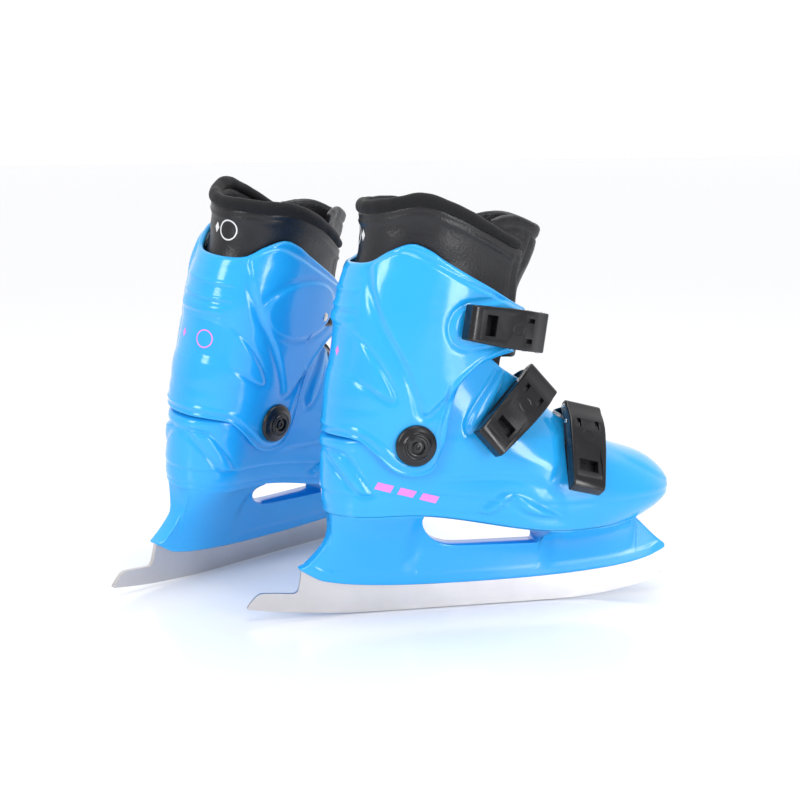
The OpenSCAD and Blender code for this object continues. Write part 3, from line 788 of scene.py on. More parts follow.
def makeCuff(side):
    s = cuffShape
    lowAt = lambda u: fair(cuffLow, surf(cuffTable, 125, u, 0, False)[..., 0])
    topAt = lambda u: fair(cuffTop, surf(cuffTable, 235, u, 0, False)[..., 0])
    loop = wallLoop(s["rows"], s["wall"])
    e0, e1 = 0.758, 0.822
    base, ends = endColumns(-1.0, 1.0, s["around"], 0.006)
    low = lowAt(base * e0) + s["wall"] / 2
    top = topAt(base * e1) - s["wall"] / 2
    v = loop[None, :, 0]
    u = base[:, None] * (e0 + (e1 - e0) * v)
    z = low[:, None] + (top - low)[:, None] * v + loop[None, :, 1] * ends[:, None]
    off = -s["wall"] / 2 + loop[None, :, 2] * s["wall"] / 2 * ends[:, None]
    points = surf(cuffTable, z, u, off, False)
    rows = s["rows"]
    outer = points[:, :rows]
    x, zz = outer[..., 0], outer[..., 2]
    lowEdge = np.array([[p[0], p[1]] for p in curveThrough(cuffLow, 6)])
    fromLow, _ = pathDistance(x, zz, lowEdge)
    lift = cuffRelief(x, zz, outer[..., 1], fromLow)
    fade = smooth((1 - np.abs(base[:, None])) / 0.05) * smooth((1 - v[:, :rows]) / 0.03)
    fade = fade * smooth(v[:, :rows] / 0.012)
    normal = outward(outer)
    points[:, :rows] = outer + normal * (lift * fade)[..., None]
    n, m = points.shape[:2]
    faces = gridFaces(n, m, False, True)
    flat = points.reshape(-1, 3)
    capEnds(faces, n, m)
    obj = makeMesh("cuffShell" + side, flat, faces, side, finish["shell"])
    clean(obj)
    return placed(obj, bodyOf["cuff", side], ["cuff" + sideTail[side]])


for side in "RL":
    makeShell(side)
    makeCuff(side)
print("shells and cuffs done")


# the blade holder
holderShape = {"endRound": 12.0, "halfAtBlade": 3.2, "swell": 2.7, "grooveUp": 8.0}


def holderTop(x):
    out = soleAt(x) + 1.1
    out = np.where(x < 58, fair(heelCurve, x), out)
    out = np.where((x >= 118) & (x < 203.5), fair(windowRear, x), out)
    out = np.where((x >= 203.5) & (x < 206.1), fair(windowFront, x), out)
    return np.where(x >= 279, fair(toeCurve, x), out)


def soleHalf(x):
    u = np.arccos(1 - 2 * np.clip((x - 55) / 224, 0, 1)) / np.pi
    return np.abs(surf(bootTable, 73, -u)[..., 1])


def holderHalf(x, z):
    h = holderShape
    end = np.clip(np.minimum(x - 36, 302.5 - x) / h["endRound"], 0, 1)
    low = h["halfAtBlade"] + h["swell"] * np.sqrt(1 - (1 - end) ** 2)
    t = np.clip((z - fair(holdLow, x)) / (soleAt(x) - fair(holdLow, x)), 0, 1)
    atWindow = smooth((x - 108) / 14) * smooth((218 - x) / 14)
    return np.maximum(low + (soleHalf(x) - 0.35 - low) * t ** (2.4 + 2.2 * atWindow), low)


def makeHolder(side):
    h = holderShape
    xs = np.concatenate([
        np.linspace(36.4, 38, 5), np.linspace(38.6, 57.8, 28), [57.95, 58.05], np.linspace(60, 117.6, 26),
        [117.9, 118.2, 118.8], np.linspace(119.6, 150, 26), np.linspace(154, 202, 18),
        np.linspace(203, 206, 12), [206.2], np.linspace(208, 278.6, 30), [278.95, 279.05],
        np.linspace(280, 301.6, 26),
    ])
    low, top = fair(holdLow, xs), holderTop(xs)
    seat = low + np.minimum(10, 0.5 * (top - low))
    up = np.concatenate([[0, 0.012, 0.03, 0.055], np.linspace(0.1, 0.95, 22), [0.975, 0.99, 1.0]])
    sections = []
    for x, a, b, s in zip(xs, low, top, seat):
        z = a + (b - a) * up
        half = holderHalf(np.full_like(z, x), z)
        fromFoot = z - a
        half = half - 1.0 * (1 - smooth(fromFoot / 1.4)) ** 2
        half = half + 0.7 * (1 - smooth((fromFoot - h["grooveUp"] + 1.2) / 2.4)) * min(1, (b - a) / 18)
        headroom = np.clip((b - z) / 1.5, 0, 1)
        freeTop = 1.0 if (118 <= x <= 206 or x < 58 or x > 279) else 0.0
        half = half - freeTop * 1.1 * (1 - np.sqrt(1 - (1 - headroom) ** 2))
        half = np.maximum(half, 1.9)
        outer = [(x, -w, q) for w, q in zip(half, z)]
        inner = [(x, w, q) for w, q in zip(half[::-1], z[::-1])]
        sections.append([(x, -1.55, s), (x, -1.55, a)] + outer + inner + [(x, 1.55, a), (x, 1.55, s)])
    points = np.array(sections)
    n, m = points.shape[:2]
    faces = gridFaces(n, m, False, True)
    faces.append(tuple(range(m)))
    faces.append(tuple((n - 1) * m + j for j in range(m - 1, -1, -1)))
    obj = makeMesh("bladeHolder" + side, points.reshape(-1, 3), faces, side, finish["shell"])
    clean(obj)
    sharpen(obj, 50)
    return placed(obj, bodyOf["boot", side], ["holder" + sideTail[side]])


def sharpen(obj, degrees):
    # corners sharper than this angle keep a hard edge in an otherwise smooth surface
    b = bmesh.new()
    b.from_mesh(obj.data)
    for edge in b.edges:
        if len(edge.link_faces) == 2 and edge.calc_face_angle(0) > math.radians(degrees):
            edge.smooth = False
    b.to_mesh(obj.data)
    b.free()


# the blade
bladeShape = {"thick": 3.0, "bevel": 0.35, "teeth": 6}


def runningEdge(x):
    return 7.5 * ((95 - x) / 95) ** 2 if x < 95 else 9 * ((x - 215) / 75) ** 2.2 if x > 215 else 0.0


def makeBlade(side):
    s = bladeShape
    line = [(x, runningEdge(x)) for x in np.linspace(3, 95, 40)]
    line += [(x, 0.0) for x in np.linspace(105, 215, 12)]
    line += [(x, runningEdge(x)) for x in np.linspace(219, 290, 34)]
    line += [(293.5, 10.9), (296.0, 12.4)]
    for i in range(s["teeth"]):
        z = 13.6 + 2.5 * i
        line += [(297.6 + 0.34 * i, z), (299.9 + 0.32 * i, z + 0.2)]
        line += [(301.0 + 0.2 * i, z + 0.7), (298.6 + 0.34 * i, z + 2.1)]
    line += [(300.2, 29.2), (300.3, 33.0), (297, 34.0)]
    xs = np.linspace(290, 42, 44)
    low, top = fair(holdLow, xs), holderTop(xs)
    line += [(x, z - 0.3) for x, z in zip(xs, low + np.minimum(10, 0.5 * (top - low)))]
    line += [(38.2, 34.2), (37.9, 30), (37.2, 25), (36.4, 20.6), (35.5, 18.4), (34.3, 17.1), (32.6, 16.6)]
    line += [(29, 16.8), (20, 17.5), (12, 18), (9.6, 17.8), (7.6, 16.8), (5.0, 14.4), (2.6, 11.6)]
    line += [(0.9, 9.2), (0.5, 8.1), (1.0, 7.4), (2.0, 7.1)]
    half = s["thick"] / 2
    n = len(line)
    points = [(x, -half, z) for x, z in line] + [(x, half, z) for x, z in line]
    faces = [tuple(range(n)), tuple(range(2 * n - 1, n - 1, -1))]
    faces += [(i, i + n, (i + 1) % n + n, (i + 1) % n) for i in range(n)]
    obj = makeMesh("bladeSteel" + side, points, faces, side, finish["steel"])
    clean(obj, 0.000001)
    bevel = obj.modifiers.new("bevel", "BEVEL")
    bevel.width = s["bevel"] * 0.001
    bevel.segments = 2
    bevel.limit_method = "ANGLE"
    bevel.angle_limit = math.radians(60)
    bevel.harden_normals = True
    applied(obj)
    sharpen(obj, 40)
    return placed(obj, bodyOf["boot", side], ["blade" + sideTail[side]])


def applied(obj):
    # the evaluated shape becomes the piece's own mesh
    bpy.context.view_layer.update()
    graph = bpy.context.evaluated_depsgraph_get()
    mesh = bpy.data.meshes.new_from_object(obj.evaluated_get(graph))
    obj.modifiers.clear()
    obj.data = mesh
    return obj


# liner, collar and tongue
paddingShape = {"collarPressure": 60.0, "tonguePressure": 0.8, "frames": 12, "mostMove": 0.0009}


def puffed(obj, pressure):
    # air pressure in a cloth skin swells a pad; no point may move further than mostMove
    s = paddingShape
    count = len(obj.data.vertices)
    before = np.empty(count * 3)
    obj.data.vertices.foreach_get("co", before)
    before = before.reshape(-1, 3)
    cloth = obj.modifiers.new("cloth", "CLOTH")
    cloth.settings.use_pressure = True
    cloth.settings.uniform_pressure_force = pressure
    cloth.settings.effector_weights.gravity = 0
    cloth.settings.quality = 6
    cloth.settings.mass = 0.2
    cloth.settings.bending_stiffness = 2.0
    cloth.collision_settings.use_collision = False
    cloth.point_cache.frame_start = 1
    cloth.point_cache.frame_end = s["frames"]
    for step in range(1, s["frames"] + 1):
        scene.frame_set(step)
    graph = bpy.context.evaluated_depsgraph_get()
    swollen = obj.evaluated_get(graph).to_mesh()
    after = np.empty(count * 3)
    swollen.vertices.foreach_get("co", after)
    obj.evaluated_get(graph).to_mesh_clear()
    obj.modifiers.clear()
    scene.frame_set(1)
    move = np.nan_to_num(after.reshape(-1, 3) - before)
    size = np.linalg.norm(move, axis=1, keepdims=True)
    move *= np.minimum(1, s["mostMove"] / np.maximum(size, 1e-9))
    obj.data.vertices.foreach_set("co", (before + move).ravel())
    obj.data.update()
    moved = np.minimum(size, s["mostMove"]) * 1000
    print(obj.name, f"swelled by up to {moved.max():.2f} mm, mean {moved.mean():.2f}")
    return obj


linerShape = {"around": 200, "rows": 90, "wall": 5.0, "seamDown": 7.5, "pillow": 1.6}


def linerTopAt(u):
    # the inner side of the ankle stands a little lower than the outer one
    lower = 8.0 * smooth((np.asarray(u, float) - 0.08) / 0.35)
    return fair(shaftTop, surf(shaftTable, 260, u, 0, False)[..., 0]) - lower


def linerColumns():
    us, ends = endColumns(-0.815, 0.815, linerShape["around"], 0.010)
    return us, ends


def makeLiner(side):
    s = linerShape
    us, ends = linerColumns()
    lowAt = lambda u: 138 + 0.10 * (surf(shaftTable, 165, u, 0, False)[..., 0] - 55)
    points, loop, rows = wallGrid(
        shaftTable, us, ends, lowAt, linerTopAt, 0.0, s["wall"], s["rows"], False
    )
    outer = points[:, :rows]
    top = linerTopAt(us)[:, None]
    down = top - outer[..., 2]
    v = loop[None, :rows, 0]
    # puffed between the collar seam and the cuff, with a stitched seam and soft creases
    lift = s["pillow"] * smooth(down / 14) * smooth((62 - down) / 26)
    lift = lift * smooth((0.815 - np.abs(us[:, None])) / 0.06)
    lift = lift - 1.0 * bead(down - s["seamDown"], 1.1)
    sway = np.sin(outer[..., 0] * 0.13 + outer[..., 2] * 0.21) * np.sin(outer[..., 2] * 0.11 + us[:, None] * 9)
    lift = lift + 0.35 * sway * smooth((down - 10) / 12)
    front = (0.815 - np.abs(us[:, None])) * 120
    lift = lift - 0.8 * bead(front - 7, 1.2) * smooth((down - 2) / 8)
    points[:, :rows] = outer + outward(outer) * (lift * smooth(v / 0.03) * smooth((1 - v) / 0.01))[..., None]
    n, m = points.shape[:2]
    faces = gridFaces(n, m, False, True)
    flat = points.reshape(-1, 3)
    capEnds(faces, n, m)
    obj = makeMesh("linerShaft" + side, flat, faces, side, finish["leather"])
    clean(obj)
    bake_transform(obj)
    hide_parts("liner_shaft" + sideTail[side])
    return obj


def makeFootLiner(side):
    us = -1 + 2 * np.arange(120) / 120
    topAt = lambda u: np.minimum(
        141 + 0.27 * (surf(bootTable, 150, u, 0, False)[..., 0] - 55),
        fair(shellTop, surf(bootTable, 150, u, 0, False)[..., 0]) - 3,
    )
    lowAt = lambda u: np.full_like(u, 78.6)
    points = wallGrid(bootTable, us, np.ones_like(us), lowAt, topAt, -7.0, 4.0, 40, True)[0]
    n, m = points.shape[:2]
    faces = gridFaces(n, m, True, True)
    obj = makeMesh("linerFoot" + side, points.reshape(-1, 3), faces, side, finish["knit"])
    clean(obj)
    return placed(obj, bodyOf["boot", side], ["liner_foot" + sideTail[side]])


def makeFootbed(side):
    us = -1 + 2 * np.arange(120) / 120
    rings = []
    for off, z in ((-14.5, 84.0), (-13.2, 84.6), (-12.8, 85.8), (-13.4, 87.0), (-17, 87.3), (-24, 86.6)):
        rings.append(surf(bootTable, np.full_like(us, z), us, off))
    mid = rings[-1].copy()
    mid[:, 1] = 7 * smooth((mid[:, 0] - 150) / 150)
    mid[:, 2] -= 0.8
    rings.append(mid)
    points = np.array(rings).transpose(1, 0, 2)
    n, m = points.shape[:2]
    faces = gridFaces(n, m, True, False)
    obj = makeMesh("footbedPad" + side, points.reshape(-1, 3), faces, side, finish["footbed"])
    clean(obj)
    return placed(obj, bodyOf["boot", side], ["footbed" + sideTail[side]])


collarShape = {"radius": 4.9, "flat": 0.92, "around": 26, "along": 300, "pinch": 0.35}


def makeCollar(side):
    s = collarShape
    us = np.linspace(-0.80, 0.80, s["along"])
    z = linerTopAt(us) + 2.6
    centre = surf(shaftTable, z, us, -2.3, False)
    out = centre - surf(shaftTable, z, us, -3.3, False)
    out /= np.linalg.norm(out, axis=-1, keepdims=True)
    edge = np.abs(us) / 0.80
    size = s["radius"] * (1 - 0.22 * smooth((edge - 0.55) / 0.4))
    size = size * (1 + 0.035 * np.sin(us * 31) + 0.02 * np.sin(us * 77 + 1))
    size = size * np.sqrt(np.clip(1 - np.clip((edge - 0.965) / 0.035, 0, 1) ** 2, 0.002, 1))
    angle = np.linspace(0, 2 * np.pi, s["around"], endpoint=False)
    pinch = 1 - s["pinch"] * bead(np.mod(angle - 4.45 + np.pi, 2 * np.pi) - np.pi, 0.5)
    ring = np.cos(angle)[None, :, None] * out[:, None] * s["flat"]
    ring = ring + np.sin(angle)[None, :, None] * np.array([0, 0, 1.0])
    points = centre[:, None] + ring * size[:, None, None] * pinch[None, :, None]
    n, m = points.shape[:2]
    faces = gridFaces(n, m, False, True)
    capEnds(faces, n, m)
    obj = makeMesh("collarRoll" + side, points.reshape(-1, 3), faces, side, finish["knit"])
    clean(obj)
    puffed(obj, paddingShape["collarPressure"])
    return placed(obj, bodyOf["cuff", side], ["collar_roll" + sideTail[side]])


tongueShape = {"thick": 6.0, "across": 64, "up": 84, "under": 1.0, "reach": 0.64}


def tongueFront(z):
    line = [
        [165, 189], [178, 190.5], [188, 189.5], [200, 188.5], [215, 189], [228, 191],
        [240, 196.5], [252, 201.5], [262, 205.5], [270, 207.5], [280, 207],
    ]
    return fair(line, z)


def tongueTop(a):
    # height of the top edge: dips at the middle, highest beside it, and falls towards the wings
    line = [[-0.1, 265], [0, 265], [0.25, 268.5], [0.55, 274.5], [0.8, 274.5], [1.0, 272.0], [1.1, 272]]
    return fair(line, np.abs(a))


def makeTongue(side):
    s = tongueShape
    count = s["across"]
    a = np.linspace(-1, 1, count)
    end = np.sqrt(np.clip(1 - np.abs(a) ** 14, 0.03, 1))
    loop = wallLoop(s["up"], 1.0, 10)
    v = loop[None, :, 0]
    thick = s["thick"] * end
    top = tongueTop(a) - thick / 2
    low = 178 + 5 * np.abs(a) ** 2
    z = low[:, None] + (top - low)[:, None] * v + loop[None, :, 1] * thick[:, None]
    # one bow from the front to the wings, which lie inside the liner
    wing = np.abs(a)[:, None]
    front = tongueFront(z)
    u = 1 - (1 - s["reach"]) * wing
    inLiner = surf(shaftTable, z, u, -6.2 - s["under"], False)
    y = np.abs(inLiner[..., 1]) * 0.97
    x = inLiner[..., 0] + (front - surf(shaftTable, z, 1.0, -7.2, False)[..., 0]) * (1 - smooth(wing / 0.75))
    bow = np.stack([x, y * np.sign(a)[:, None], z], -1)
    normal = outward(bow[:, : s["up"]])
    rows = s["up"]
    full = np.empty_like(bow)
    for j in range(bow.shape[1]):
        k = int(round(float(loop[j, 0]) * (rows - 1)))
        full[:, j] = normal[:, min(k, rows - 1)]
    if np.mean(full[count // 2, :, 0]) < 0:
        full = -full
    down = tongueTop(a)[:, None] - z
    lift = (loop[None, :, 2] - 1) * thick[:, None] / 2
    outer = loop[None, :, 2] > 0.5
    seam = -0.9 * bead(down - 8.5, 1.2) - 0.9 * bead((wing - 0.30) * 40, 1.1) * smooth((down - 9) / 3)
    seam = seam + 0.9 * smooth((down - 9) / 8) * (1 - smooth((wing - 0.8) / 0.2))
    lift = lift + np.where(outer, seam * smooth(v / 0.05), 0)
    points = bow + full * lift[..., None]
    n, m = points.shape[:2]
    faces = gridFaces(n, m, False, True)
    flat = points.reshape(-1, 3)
    capEnds(faces, n, m)
    obj = makeMesh("tonguePad" + side, flat, faces, side, finish["leather"])
    clean(obj)
    puffed(obj, paddingShape["tonguePressure"])
    return placed(obj, bodyOf["cuff", side], ["tongue_shaft" + sideTail[side]])


# ankle pivots
capShape = {"radius": 14.0, "profile": [
    (0.0, 4.2), (2.2, 4.2), (2.6, 3.9), (2.6, 3.5), (4.6, 3.5), (4.9, 3.9), (4.9, 5.0), (5.4, 5.4), (6.4, 5.4),
    (6.9, 5.0), (7.1, 4.3), (7.4, 4.0), (8.2, 4.0), (8.6, 4.4), (9.0, 4.3), (9.4, 3.6), (10.6, 3.0), (12.2, 2.5),
    (13.2, 1.9), (13.8, 1.1), (14.0, 0.4), (14.0, 0.0), (12.0, 0.0), (0.0, 0.0)]}


def latheRing(profile, steps):
    angle = np.linspace(0, 2 * np.pi, steps, endpoint=False)
    p = np.array(profile, float)
    return np.stack([
        p[:, 0][None] * np.cos(angle)[:, None],
        p[:, 0][None] * np.sin(angle)[:, None],
        np.broadcast_to(p[:, 1][None], (steps, len(p))),
    ], -1)


def makePivotCaps(side):
    points, faces = [], []
    for way in (-1, 1):
        ring = latheRing(capShape["profile"], 64)
        start = sum(len(p) for p in points)
        place = np.stack([109 + ring[..., 0], way * (42.2 + ring[..., 2]), 125 + ring[..., 1]], -1)
        n, m = ring.shape[:2]
        new = [tuple(start + k for k in f) for f in gridFaces(n, m, True, False)]
        faces += [tuple(reversed(f)) for f in new] if way > 0 else new
        points.append(place.reshape(-1, 3))
    obj = makeMesh("pivotCaps" + side, np.vstack(points), faces, side, finish["buckle"])
    clean(obj)
    sharpen(obj, 48)
    return placed(obj, bodyOf["boot", side], ["pivot_caps" + sideTail[side]])


for side in "RL":
    makeHolder(side)
    makeBlade(side)
    makeLiner(side)
    makeFootLiner(side)
    makeFootbed(side)
    makeCollar(side)
    makeTongue(side)
    makePivotCaps(side)
print("holders, blades, liners and pivots done")


# places of the three buckles: origin, way the lever points, way out of the boot
buckleAt = {
    "top": ((197.2, -24.9, 195.6), (-0.916, -0.352, 0.193), (0.363, -0.931, 0.025)),
    "mid": ((200.2, -19.2, 160.1), (-0.717, -0.4, -0.572), (0.243, -0.911, 0.333)),
    "toe": ((232.0, -13.5, 137.4), (-0.157, -0.629, -0.761), (0.213, -0.774, 0.596)),
}
buckleShape = {
    "hingeUp": 3.0, "nose": 4.2, "noseIn": 3.2, "width": 27.0, "wallIn": 11.5, "plate": 2.2,
    "long": 64.0, "taper": 3.0, "bevel": 1.1, "catchX": 13.0, "catchUp": 5.0, "pin": 1.5,
    "ringX": 25.5,
}


def buckleAxes(which):
    at, along, out = (np.array(v) for v in buckleAt[which])
    x = along / np.linalg.norm(along)
    y = np.cross(out, x)
    y /= np.linalg.norm(y)
    return at, np.array([x, y, np.cross(x, y)])


def onBuckle(which, points):
    at, axes = buckleAxes(which)
    return at + np.asarray(points, float) @ axes


def arc(cx, cz, radius, start, stop, count):
    return [(cx + radius * math.cos(a), cz + radius * math.sin(a))
            for a in np.radians(np.linspace(start, stop, count))]


def prism(outline, halfAt):
    # an outline in x and z made solid across y; halfAt gives its half width at an x
    n = len(outline)
    points = [(x, way * halfAt(x), z) for way in (-1, 1) for x, z in outline]
    faces = [tuple(range(n)), tuple(range(2 * n - 1, n - 1, -1))]
    faces += [(i, i + n, (i + 1) % n + n, (i + 1) % n) for i in range(n)]
    return points, faces


def looseMesh(name, points, faces):
    mesh = bpy.data.meshes.new(name)
    mesh.from_pydata([tuple(np.array(p) * 0.001) for p in points], [], faces)
    obj = bpy.data.objects.new(name, mesh)
    scene.collection.objects.link(obj)
    clean(obj, 0.0000005)
    return obj


def cutBy(obj, tools):
    for tool in tools:
        cut = obj.modifiers.new("cut", "BOOLEAN")
        cut.operation = "DIFFERENCE"
        cut.solver = "EXACT"
        cut.object = tool
    applied(obj)
    for tool in tools:
        bpy.data.objects.remove(tool, do_unlink=True)
    return obj


def bevelled(obj, width, segments, angle=35):
    bevel = obj.modifiers.new("bevel", "BEVEL")
    bevel.width = width * 0.001
    bevel.segments = segments
    bevel.limit_method = "ANGLE"
    bevel.angle_limit = math.radians(angle)
    bevel.use_clamp_overlap = True
    return applied(obj)


def partsOf(obj):
    p = np.empty(len(obj.data.vertices) * 3)
    obj.data.vertices.foreach_get("co", p)
    faces = [tuple(f.vertices) for f in obj.data.polygons]
    bpy.data.objects.remove(obj, do_unlink=True)
    return p.reshape(-1, 3) * 1000, faces


def joined(pieces):
    points, faces = [], []
    for p, f in pieces:
        start = len(points)
        points.extend(np.asarray(p).tolist())
        faces.extend(tuple(start + k for k in face) for face in f)
    return np.array(points), faces


def rod(at, aim, radius, length, steps=28, edge=0.35):
    # a pin with rounded rims, centred on at
    aim = np.array(aim, float) / np.linalg.norm(aim)
    side = np.cross(aim, (0, 0, 1) if abs(aim[2]) < 0.9 else (1, 0, 0))
    side /= np.linalg.norm(side)
    up = np.cross(aim, side)
    h = length / 2
    profile = [
        (0, -h), (radius - edge, -h), (radius - 0.1, -h + 0.12), (radius, -h + edge),
        (radius, h - edge), (radius - 0.1, h - 0.12), (radius - edge, h), (0, h),
    ]
    ring = latheRing(profile, steps)
    points = np.array(at) + ring[..., 0:1] * side + ring[..., 1:2] * up + ring[..., 2:3] * aim
    n, m = points.shape[:2]
    return points.reshape(-1, 3), gridFaces(n, m, True, False)


def leverSolid():
    s = buckleShape
    up, n = s["hingeUp"], s["nose"]
    outline = arc(0, up, n, 102, 270, 20)
    outline += [(3, up - n + 1.2), (10, 1.2), (30, 1.2), (s["long"], 1.2), (s["long"], 9.2)]
    outline += [(63, 10.4), (60.5, 11.4), (50, 12.0), (34, 12.5), (22, 12.5)]
    outline += [(16, 12.2), (11.5, 11.3), (7, 9.8), (3, 8.1)]
    slope = math.tan(math.radians(s["taper"]))
    half = lambda x: s["width"] / 2 - max(0, x - 30) * slope
    body = looseMesh("lever", *prism(outline, half))
    bevelled(body, s["bevel"], 4, 50)
    inner = arc(0, up, s["noseIn"], 102, 180, 10)
    inner += [(-6, up), (-6, -6), (s["long"] - s["plate"], -6), (s["long"] - s["plate"], 8.2)]
    inner += [(60, 9.2), (50, 9.9), (34, 10.3), (24, 10.3), (20, 10.2), (15, 9.4), (8, 7.5), (3, 6.2)]
    tools = [looseMesh("cavity", *prism(inner, lambda x: s["wallIn"] - max(0, x - 30) * slope))]
    window = [(43, -8), (52, -8), (52, 20), (43, 20)]
    tools.append(looseMesh("window", *prism(window, lambda x: 7.0)))
    ramp = [(33, 12.6), (43, 10.8), (52, 10.7), (56, 11.0), (57.2, 11.9), (58, 20), (33, 20)]
    tools.append(looseMesh("ramp", *prism(ramp, lambda x: 9.6 - max(0, 43 - x) * 0.16)))
    for way in (-1, 1):
        slot = looseMesh("slot", *prism([(12.5, 9), (19.5, 10.9), (19.5, 20), (12.5, 20)], lambda x: 1.5))
        slot.data.transform(Matrix.Translation((0, way * 0.0068, 0)))
        tools.append(slot)
    cutBy(body, tools)
    bevelled(body, 0.22, 2, 40)
    cup = looseMesh("cup", *prism([(42.2, 4.0), (52.8, 4.0), (52.8, 10.4), (42.2, 10.6)], lambda x: 7.8))
    cutBy(cup, [looseMesh("well", *prism([(43.4, 4.9), (51.6, 4.9), (52, 20), (43, 20)], lambda x: 6.9))])
    ring = latheRing([(3.7, 0), (3.8, 0.25), (4.1, 0.34), (4.6, 0.34), (4.9, 0.25), (5.0, 0)], 48)
    ring = ring + np.array([s["ringX"], 0, 12.4])
    ringFaces = gridFaces(*ring.shape[:2], True, True)
    return joined([partsOf(body), partsOf(cup), (ring.reshape(-1, 3), ringFaces)])


def baseSolid():
    s = buckleShape
    plate = [(-2, -5), (0, -4.7), (14, 0), (52, 0), (52, 1.5), (14, 1.5), (0, -3.2), (-2, -3.6)]
    body = looseMesh("plate", *prism(plate, lambda x: 11.0 - max(0, x - 44) * 0.25))
    bevelled(body, 0.4, 2, 50)
    solids = [partsOf(body)]
    for way in (-1, 1):
        outline = arc(0, s["hingeUp"], 2.8, 23, 285, 22) + [(2.2, -2.8), (9, -0.6), (13, 1), (9, 2.6)]
        ear = looseMesh("ear", *prism(outline, lambda x: 1.0))
        ear.data.transform(Matrix.Translation((0, way * 0.010, 0)))
        bevelled(ear, 0.3, 2, 50)
        solids.append(partsOf(ear))
    return joined(solids)


strapPath = {
    "top": (cuffTable, False, [[192, -.965, 4.5], [191, .985, 3], [191, .93, 1.8], [192, .87, 1.2], [194, .8, 1],
            [196, .73, 1], [198, .66, 1], [200, .6, 1], [201, .55, 1]]),
    "mid": (bootTable, True, [[160, -.99, 5.5], [159, .97, 4], [157, .93, 3], [154, .88, 2.4], [150, .82, 2],
            [145, .76, 2], [140, .7, 2], [135, .65, 2]]),
    "toe": (bootTable, True, [[133, .98, 6], [132, .95, 5], [130, .91, 4], [126, .87, 3.4], [121, .82, 3],
            [115, .77, 2.6], [108, .735, 2.2], [101, .71, 2]]),
}
strapShape = {"width": 14.0, "thick": 1.2, "step": 1.1, "toothEvery": 2.6}


# the strap's run under its buckle: x, z and tilt in the buckle's own place
underBuckle = [
    (36, 1.6, 0), (25, 1.62, 0), (14.4, 1.65, -9), (7, -0.75, -14),
    (0, -3.05, -15), (-2.4, -3.55, -12), (-5, -4, -12),
]


def strapStations(which):
    table, foot, path = strapPath[which]
    axes = buckleAxes(which)[1]
    places, ways = [], []
    for x, z, tilt in underBuckle:
        t = math.radians(tilt)
        places.append(onBuckle(which, (x, 0, z)))
        ways.append(np.array([math.sin(t), 0, math.cos(t)]) @ axes)
    for z, u, off in path:
        p = surf(table, z, u, off, foot)
        e = 0.0 if abs(u) > 0.99 else 0.004
        du = surf(table, z, u + e, off, foot) - surf(table, z, u - e, off, foot)
        if e == 0:
            du = np.array([0, 1.0, 0])
        dz = surf(table, z + 0.4, u, off, foot) - surf(table, z - 0.4, u, off, foot)
        n = np.cross(du, dz)
        n /= np.linalg.norm(n)
        n *= np.sign(n @ (p - np.array([120, 0, 110])))
        places.append(p)
        ways.append(n)
    return np.array(places), np.array(ways)


def strapLine(which):
    # stations joined by a smooth line, walked in even steps
    places, ways = strapStations(which)
    gaps = np.linalg.norm(np.diff(places, axis=0), axis=1)
    along = np.concatenate([[0], np.cumsum(np.sqrt(gaps))])
    fine = np.linspace(0, along[-1], 900)
    tables = [[[a, *row] for a, row in zip(along, rows)] for rows in (places, ways)]
    p = np.stack([fair(tables[0], fine, k) for k in (1, 2, 3)], -1)
    w = np.stack([fair(tables[1], fine, k) for k in (1, 2, 3)], -1)
    length = np.concatenate([[0], np.cumsum(np.linalg.norm(np.diff(p, axis=0), axis=1))])
    even = np.arange(0, length[-1], strapShape["step"])
    p = np.stack([np.interp(even, length, p[:, k]) for k in range(3)], -1)
    w = np.stack([np.interp(even, length, w[:, k]) for k in range(3)], -1)
    ahead = np.gradient(p, axis=0)
    ahead /= np.linalg.norm(ahead, axis=1, keepdims=True)
    across = np.cross(ahead, w)
    across /= np.linalg.norm(across, axis=1, keepdims=True)
    out = np.cross(across, ahead)
    return even, p, ahead, across, out


def makeStrap(which, side):
    s = strapShape
    even, p, ahead, across, out = strapLine(which)
    half, t = s["width"] / 2, s["thick"]
    section = [
        (-half + 0.5, 0), (-half + 0.15, 0.12), (-half, 0.5), (-half + 0.1, t - 0.3),
        (-half + 0.45, t), (-half + 1.2, t), (-half + 1.6, t - 0.22),
    ]
    section += [(-a, b) for a, b in section[::-1]]
    rows = []
    for i in range(len(even)):
        reach = min(even[i], even[-1] - even[i])
        narrow = math.sqrt(max(0.0, 1 - (1 - min(reach / 5.0, 1)) ** 2)) * 0.55 + 0.45
        rows.append([p[i] + across[i] * a * narrow + out[i] * b for a, b in section])
    points = np.array(rows)
    n, m = points.shape[:2]
    faces = gridFaces(n, m, False, True)
    capEnds(faces, n, m)
    solids = [(points.reshape(-1, 3), faces)]
    obj = makeMesh("ladderStrap" + which.title() + side, *joined(solids), side, finish["buckle"])
    clean(obj)
    sharpen(obj, 55)
    body = bodyOf["cuff" if which == "top" else "boot", side]
    placed(obj, body, ["strap_" + which + sideTail[side]])
    toothSide = [(-0.65, -0.3), (0.65, -0.3), (0.5, 0.2), (-0.1, 0.45), (-0.45, 0.3)]
    tooth = looseMesh("tooth", *prism(toothSide, lambda x: half - 1.9))
    marks = np.arange(10, even[-1] - 14, s["toothEvery"])
    k = np.clip(np.searchsorted(even, marks), 0, len(even) - 1)
    teeth = repeated(
        "strapTeeth" + which.title() + side, p[k] + out[k] * (t - 0.22), out[k], ahead[k],
        tooth, 1.0, side, finish["buckle"],
    )
    placed(teeth, body, [])


